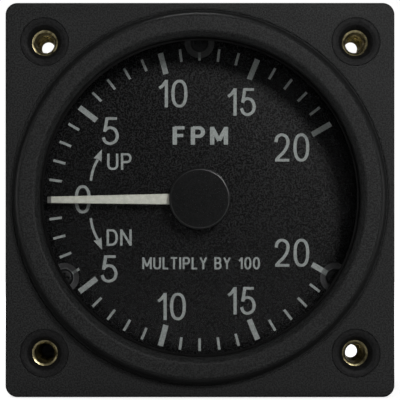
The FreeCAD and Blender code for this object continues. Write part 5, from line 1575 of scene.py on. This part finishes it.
# %% Glyphs
UPRIGHT = line((0, -0.06), (0, 1.06))
RIGHT_UPRIGHT = line((1, -0.06), (1, 1.06))
GLYPHS = {
    "0": (0.586, [oval(0.5, 0.5, 0.5, 0.5, 0, 360, 2.35, 65)[:-1]]),
    "1": (0.325, [
        line((1.0, -0.045), (1.0, 1.045)),
        bend((0.0, 0.72), (0.45, 0.81), (0.95, 1.0)),
    ]),
    "2": (0.586, [
        bend(
            (0.0, 0.71), (0.08, 0.88), (0.3, 0.985), (0.55, 0.995), (0.83, 0.91),
            (0.95, 0.73), (0.86, 0.52), (0.6, 0.31), (0.25, 0.14), (0.02, 0.0),
        ),
        line((-0.07, 0.0), (1.06, 0.0)),
    ]),
    "5": (0.6, [
        line((0.2, 1.0), (0.98, 1.0)),
        line((0.27, 1.04), (0.1, 0.47)),
        bend(
            (0.09, 0.5), (0.25, 0.6), (0.5, 0.635), (0.82, 0.56), (0.99, 0.34),
            (0.88, 0.11), (0.5, 0.0), (0.15, 0.07), (0.0, 0.25),
        ),
    ]),
    "U": (0.66, [hook((0, 1.04), oval(0.5, 0.32, 0.5, 0.32, 180, 360, 2.3), (1, 1.04))]),
    "P": (0.62, [UPRIGHT, bowl(1, 0.47, 0.55)]),
    "D": (0.68, [UPRIGHT, bowl(1, 0, 0.4)]),
    "N": (0.7, [UPRIGHT, line((0, 1.0), (1, 0.0)), RIGHT_UPRIGHT]),
    "F": (0.55, [UPRIGHT, line((0, 1), (1.1, 1)), line((0, 0.52), (0.95, 0.52))]),
    "M": (0.85, [UPRIGHT, line((0, 1.0), (0.5, 0.2)), line((0.5, 0.2), (1, 1.0)), RIGHT_UPRIGHT]),
    "L": (0.5, [line((0, 1.06), (0, -0.06)), line((0, 0), (1.05, 0))]),
    "T": (0.6, [line((0.5, -0.06), (0.5, 1)), line((-0.1, 1), (1.1, 1))]),
    "I": (0.02, [line((0.5, -0.06), (0.5, 1.06))]),
    "Y": (0.66, [
        line((0, 1.04), (0.5, 0.48)),
        line((1, 1.04), (0.5, 0.48)),
        line((0.5, -0.06), (0.5, 0.52)),
    ]),
    "B": (0.6, [UPRIGHT, bowl(1, 0.52, 0.5, 0.92), bowl(0.52, 0, 0.5)]),
}
CLOSED_GLYPHS = "0"
SPACE_WIDTH = 0.25
print(len(GLYPHS), "glyphs")

# %% [markdown]
# ## Setting a line of print
# A line of print is given by the box that it fills in the picture. Glyphs and
# gaps are stretched together until they fill it, as a printer's film would be
# fitted, so the box alone decides where the line lies and how large it is.

# %% Set a line of print into its place
def printed(text, box, across, up, gap=0.17):
    """Lays glyphs side by side in a picture box (left, right, top, bottom). The
    scale is the box's width over the sum of the widths and gaps."""
    x0, z1 = dial_place(box[0], box[2])
    x1, z0 = dial_place(box[1], box[3])
    x0, x1 = x0 + across / 2, x1 - across / 2
    z0, z1 = z0 + up / 2, z1 - up / 2
    tall = z1 - z0
    widths = [SPACE_WIDTH if letter == " " else GLYPHS[letter][0] for letter in text]
    step = gap + across / tall
    scale = (x1 - x0) / (sum(widths) + step * (len(text) - 1))
    slabs = []
    cursor = x0
    for letter, width in zip(text, widths):
        for path in [] if letter == " " else GLYPHS[letter][1]:
            spot = np.stack([cursor + path[:, 0] * width * scale, z0 + path[:, 1] * tall], axis=-1)
            lift = INK_STEP * (len(slabs) % 3)
            slabs.append(ribbon(spot, across, up, letter in CLOSED_GLYPHS, lift))
        cursor += (width + step) * scale
    return slabs

# %% [markdown]
# ## Numerals and legends
# The numbers, the two direction words and the arrows are what any such dial
# carries. The long legends tell the unit in neutral words. Each row gives the
# text, its box, the stroke's width across and up, and the gap between letters.

# %% Numerals and legends
NUMERAL = (0.5, 0.42, 0.17)
WORD = (0.37, 0.33, 0.2)
lettering = []
for text, box, pen in (
    ("5", (101.0, 118.3, 117.3, 145.0), NUMERAL),
    ("10", (156.9, 186.8, 79.8, 107.6), NUMERAL),
    ("15", (225.8, 255.2, 88.2, 116.0), NUMERAL),
    ("20", (273.6, 308.6, 133.5, 161.6), NUMERAL),
    ("0", (74.0, 90.1, 185.3, 213.4), NUMERAL),
    ("5", (99.8, 117.0, 255.3, 282.7), NUMERAL),
    ("10", (155.8, 185.2, 292.9, 320.3), NUMERAL),
    ("15", (225.9, 255.1, 287.0, 314.8), NUMERAL),
    ("20", (273.8, 308.6, 238.9, 266.8), NUMERAL),
    ("UP", (106.4, 130.9, 153.3, 170.1), WORD),
    ("DN", (105.9, 131.0, 229.3, 245.9), WORD),
    ("FPM", (171.9, 227.4, 126.3, 145.4), (0.68, 0.5, 0.3)),
    ("MULTIPLY BY 100", (141.6, 259.3, 257.1, 269.5), (0.3, 0.28, 0.2)),
):
    lettering += printed(text, box, *pen)
print(len(lettering), "strokes of lettering")

# %% [markdown]
# ## Arrows
# The shaft is a ribbon like the numerals' strokes. The head is swept back, which
# no stroke gives, so it is a small filled outline. The lower arrow is the upper
# one mirrored by the sign of its height.

# %% Arrows
def arrow(flip):
    """Curved shaft and a swept head, with heights times flip."""
    shaft = bend((90.1, 180.9), (91.4, 173.4), (93.8, 166.2), (97.0, 159.6))
    head = np.array([(101.3, 149.4), (92.8, 158.4), (96.8, 159.0), (100.8, 161.9)])
    mirror = np.array([1.0, flip])
    spots, outline = (
        np.stack(dial_place(path[:, 0], path[:, 1]), axis=-1) * mirror for path in (shaft, head)
    )
    front = DIAL_FRONT - INK_THICK - INK_STEP
    return [ribbon(spots, 0.4), block([(outline, front), (outline, DIAL_FRONT + INK_SUNK)])]


lettering += arrow(1.0) + arrow(-1.0)
ink = make_piece("dial_print", *combined(*ticks, *lettering), 30.0)
place(ink, "dial_black", ROOT, finish=dial_ink)

# %% [markdown]
# ## Floor
# The object stands on a pale floor against white. The floor keeps a true grey
# for light and shadow, and a glow that only the camera sees brings it up to
# white. The glow is weaker close to the object, so that the shadow stays, and
# reaches white before the horizon, so that no line shows there.

# %% Floor
FLOOR_HALF = 2.0
GLOW_NEAR, GLOW_FAR = 0.06, 0.3
GLOW_LOW, GLOW_FULL = 0.72, 1.0
floor_level = FLANGE_LOW * MM - 0.00005
floor_mesh = bpy.data.meshes.new("floor")
floor_corners = [(-1, -1), (1, -1), (1, 1), (-1, 1)]
floor_mesh.from_pydata(
    [(FLOOR_HALF * x, FLOOR_HALF * y, floor_level) for x, y in floor_corners], [], [(0, 1, 2, 3)]
)
floor = bpy.data.objects.new("floor", floor_mesh)
bpy.context.scene.collection.objects.link(floor)
floor_finish = Finish("floor_pale", (0.5, 0.5, 0.5), 0.8, specular=0.1)
floor_finish.mottle(6, (0.49, 0.49, 0.49), (0.51, 0.51, 0.51))
floor_tree = floor_finish.tree
rays = floor_tree.nodes.new("ShaderNodeLightPath")
away = floor_tree.nodes.new("ShaderNodeVectorMath")
away.operation = "LENGTH"
floor_finish.link(floor_finish.place, away.inputs[0])
fade = spread(floor_tree, away.outputs["Value"], GLOW_NEAR, GLOW_FAR, GLOW_LOW, GLOW_FULL)
glow = arithmetic(floor_tree, "MULTIPLY", rays.outputs["Is Camera Ray"], fade)
floor_finish.shader.inputs["Emission Color"].default_value = (1, 1, 1, 1)
floor_finish.link(glow, floor_finish.shader.inputs["Emission Strength"])
floor_mesh.materials.append(floor_finish.material)
print("floor %.2f mm below the axis" % (-floor_level / MM))

# %% [markdown]
# ## World
# The world gives a soft even light, and looks white to the camera and through
# glass. To a reflection it is dark on the camera's side and white beyond the
# object, like a studio whose lamps stand behind a dark camera. An image of a
# room would do the same, but no image is used here.

# %% World
AMBIENT = 0.39
DARK_SIDE = 0.05
WHITE_FROM, WHITE_AT = 0.0, 0.8
scene = bpy.context.scene
scene.view_settings.view_transform = "Standard"
world = bpy.data.worlds.new("studio")
world.use_nodes = True
scene.world = world
tree = world.node_tree
background = tree.nodes["Background"]
background.inputs["Color"].default_value = (1, 1, 1, 1)
rays = tree.nodes.new("ShaderNodeLightPath").outputs
direction = tree.nodes.new("ShaderNodeTexCoord").outputs["Generated"]
parts = tree.nodes.new("ShaderNodeSeparateXYZ")
tree.links.new(direction, parts.inputs["Vector"])
room = spread(tree, parts.outputs["Y"], WHITE_FROM, WHITE_AT, DARK_SIDE, 1.0)
gloss = arithmetic(tree, "MULTIPLY", rays["Is Glossy Ray"], room)
seen = arithmetic(tree, "MAXIMUM", rays["Is Camera Ray"], rays["Is Transmission Ray"])
dim = spread(tree, rays["Is Glossy Ray"], 0.0, 1.0, AMBIENT, 0.0)
strength = arithmetic(tree, "MAXIMUM", arithmetic(tree, "MAXIMUM", seen, gloss), dim)
tree.links.new(strength, background.inputs["Strength"])
print("ambient light", AMBIENT)

# %% [markdown]
# ## Lamps
# One small soft lamp from the upper right does the shaping: the ring throws its
# shadow on the right of the dial, as in the photograph. A large weak one fills
# the left, and one behind lights the case. Larger lamps would wash the grain of
# the mouldings away.

# %% Lamps
def lamp(name, stands_at, size_m, watts):
    """Square area lamp turned towards the origin."""
    data = bpy.data.lights.new(name, "AREA")
    data.size = size_m
    data.energy = watts
    holder = bpy.data.objects.new(name, data)
    scene.collection.objects.link(holder)
    holder.location = stands_at
    holder.rotation_euler = (-mathutils.Vector(stands_at)).to_track_quat("-Z", "Y").to_euler()
    print(name, watts, "W")


lamp("key_lamp", (0.12, -0.33, 0.145), 0.085, 0.95)
lamp("fill_lamp", (-0.6, -0.35, 0.35), 0.4, 0.35)
lamp("rear_lamp", (-0.3, 0.7, 0.5), 0.5, 4.0)

# %% [markdown]
# ## Camera
# The camera stands a little below and left of the dial's axis. The flange's
# edges stay square in the picture, so its back is parallel to the flange, and a
# small shift brings the object to the frame's middle.

# %% Camera
view = bpy.data.cameras.new("view")
view.sensor_width = 36.0
view.lens = 154.7
view.shift_x = 0.0375
view.shift_y = 0.1676
view.clip_start = 0.01
eye = bpy.data.objects.new("view", view)
scene.collection.objects.link(eye)
eye.location = (-0.00227, -0.260, -0.0105)
eye.rotation_euler = (math.radians(90), 0, 0)
scene.camera = eye
print("camera", view.lens, "mm, at", tuple(round(v, 4) for v in eye.location))
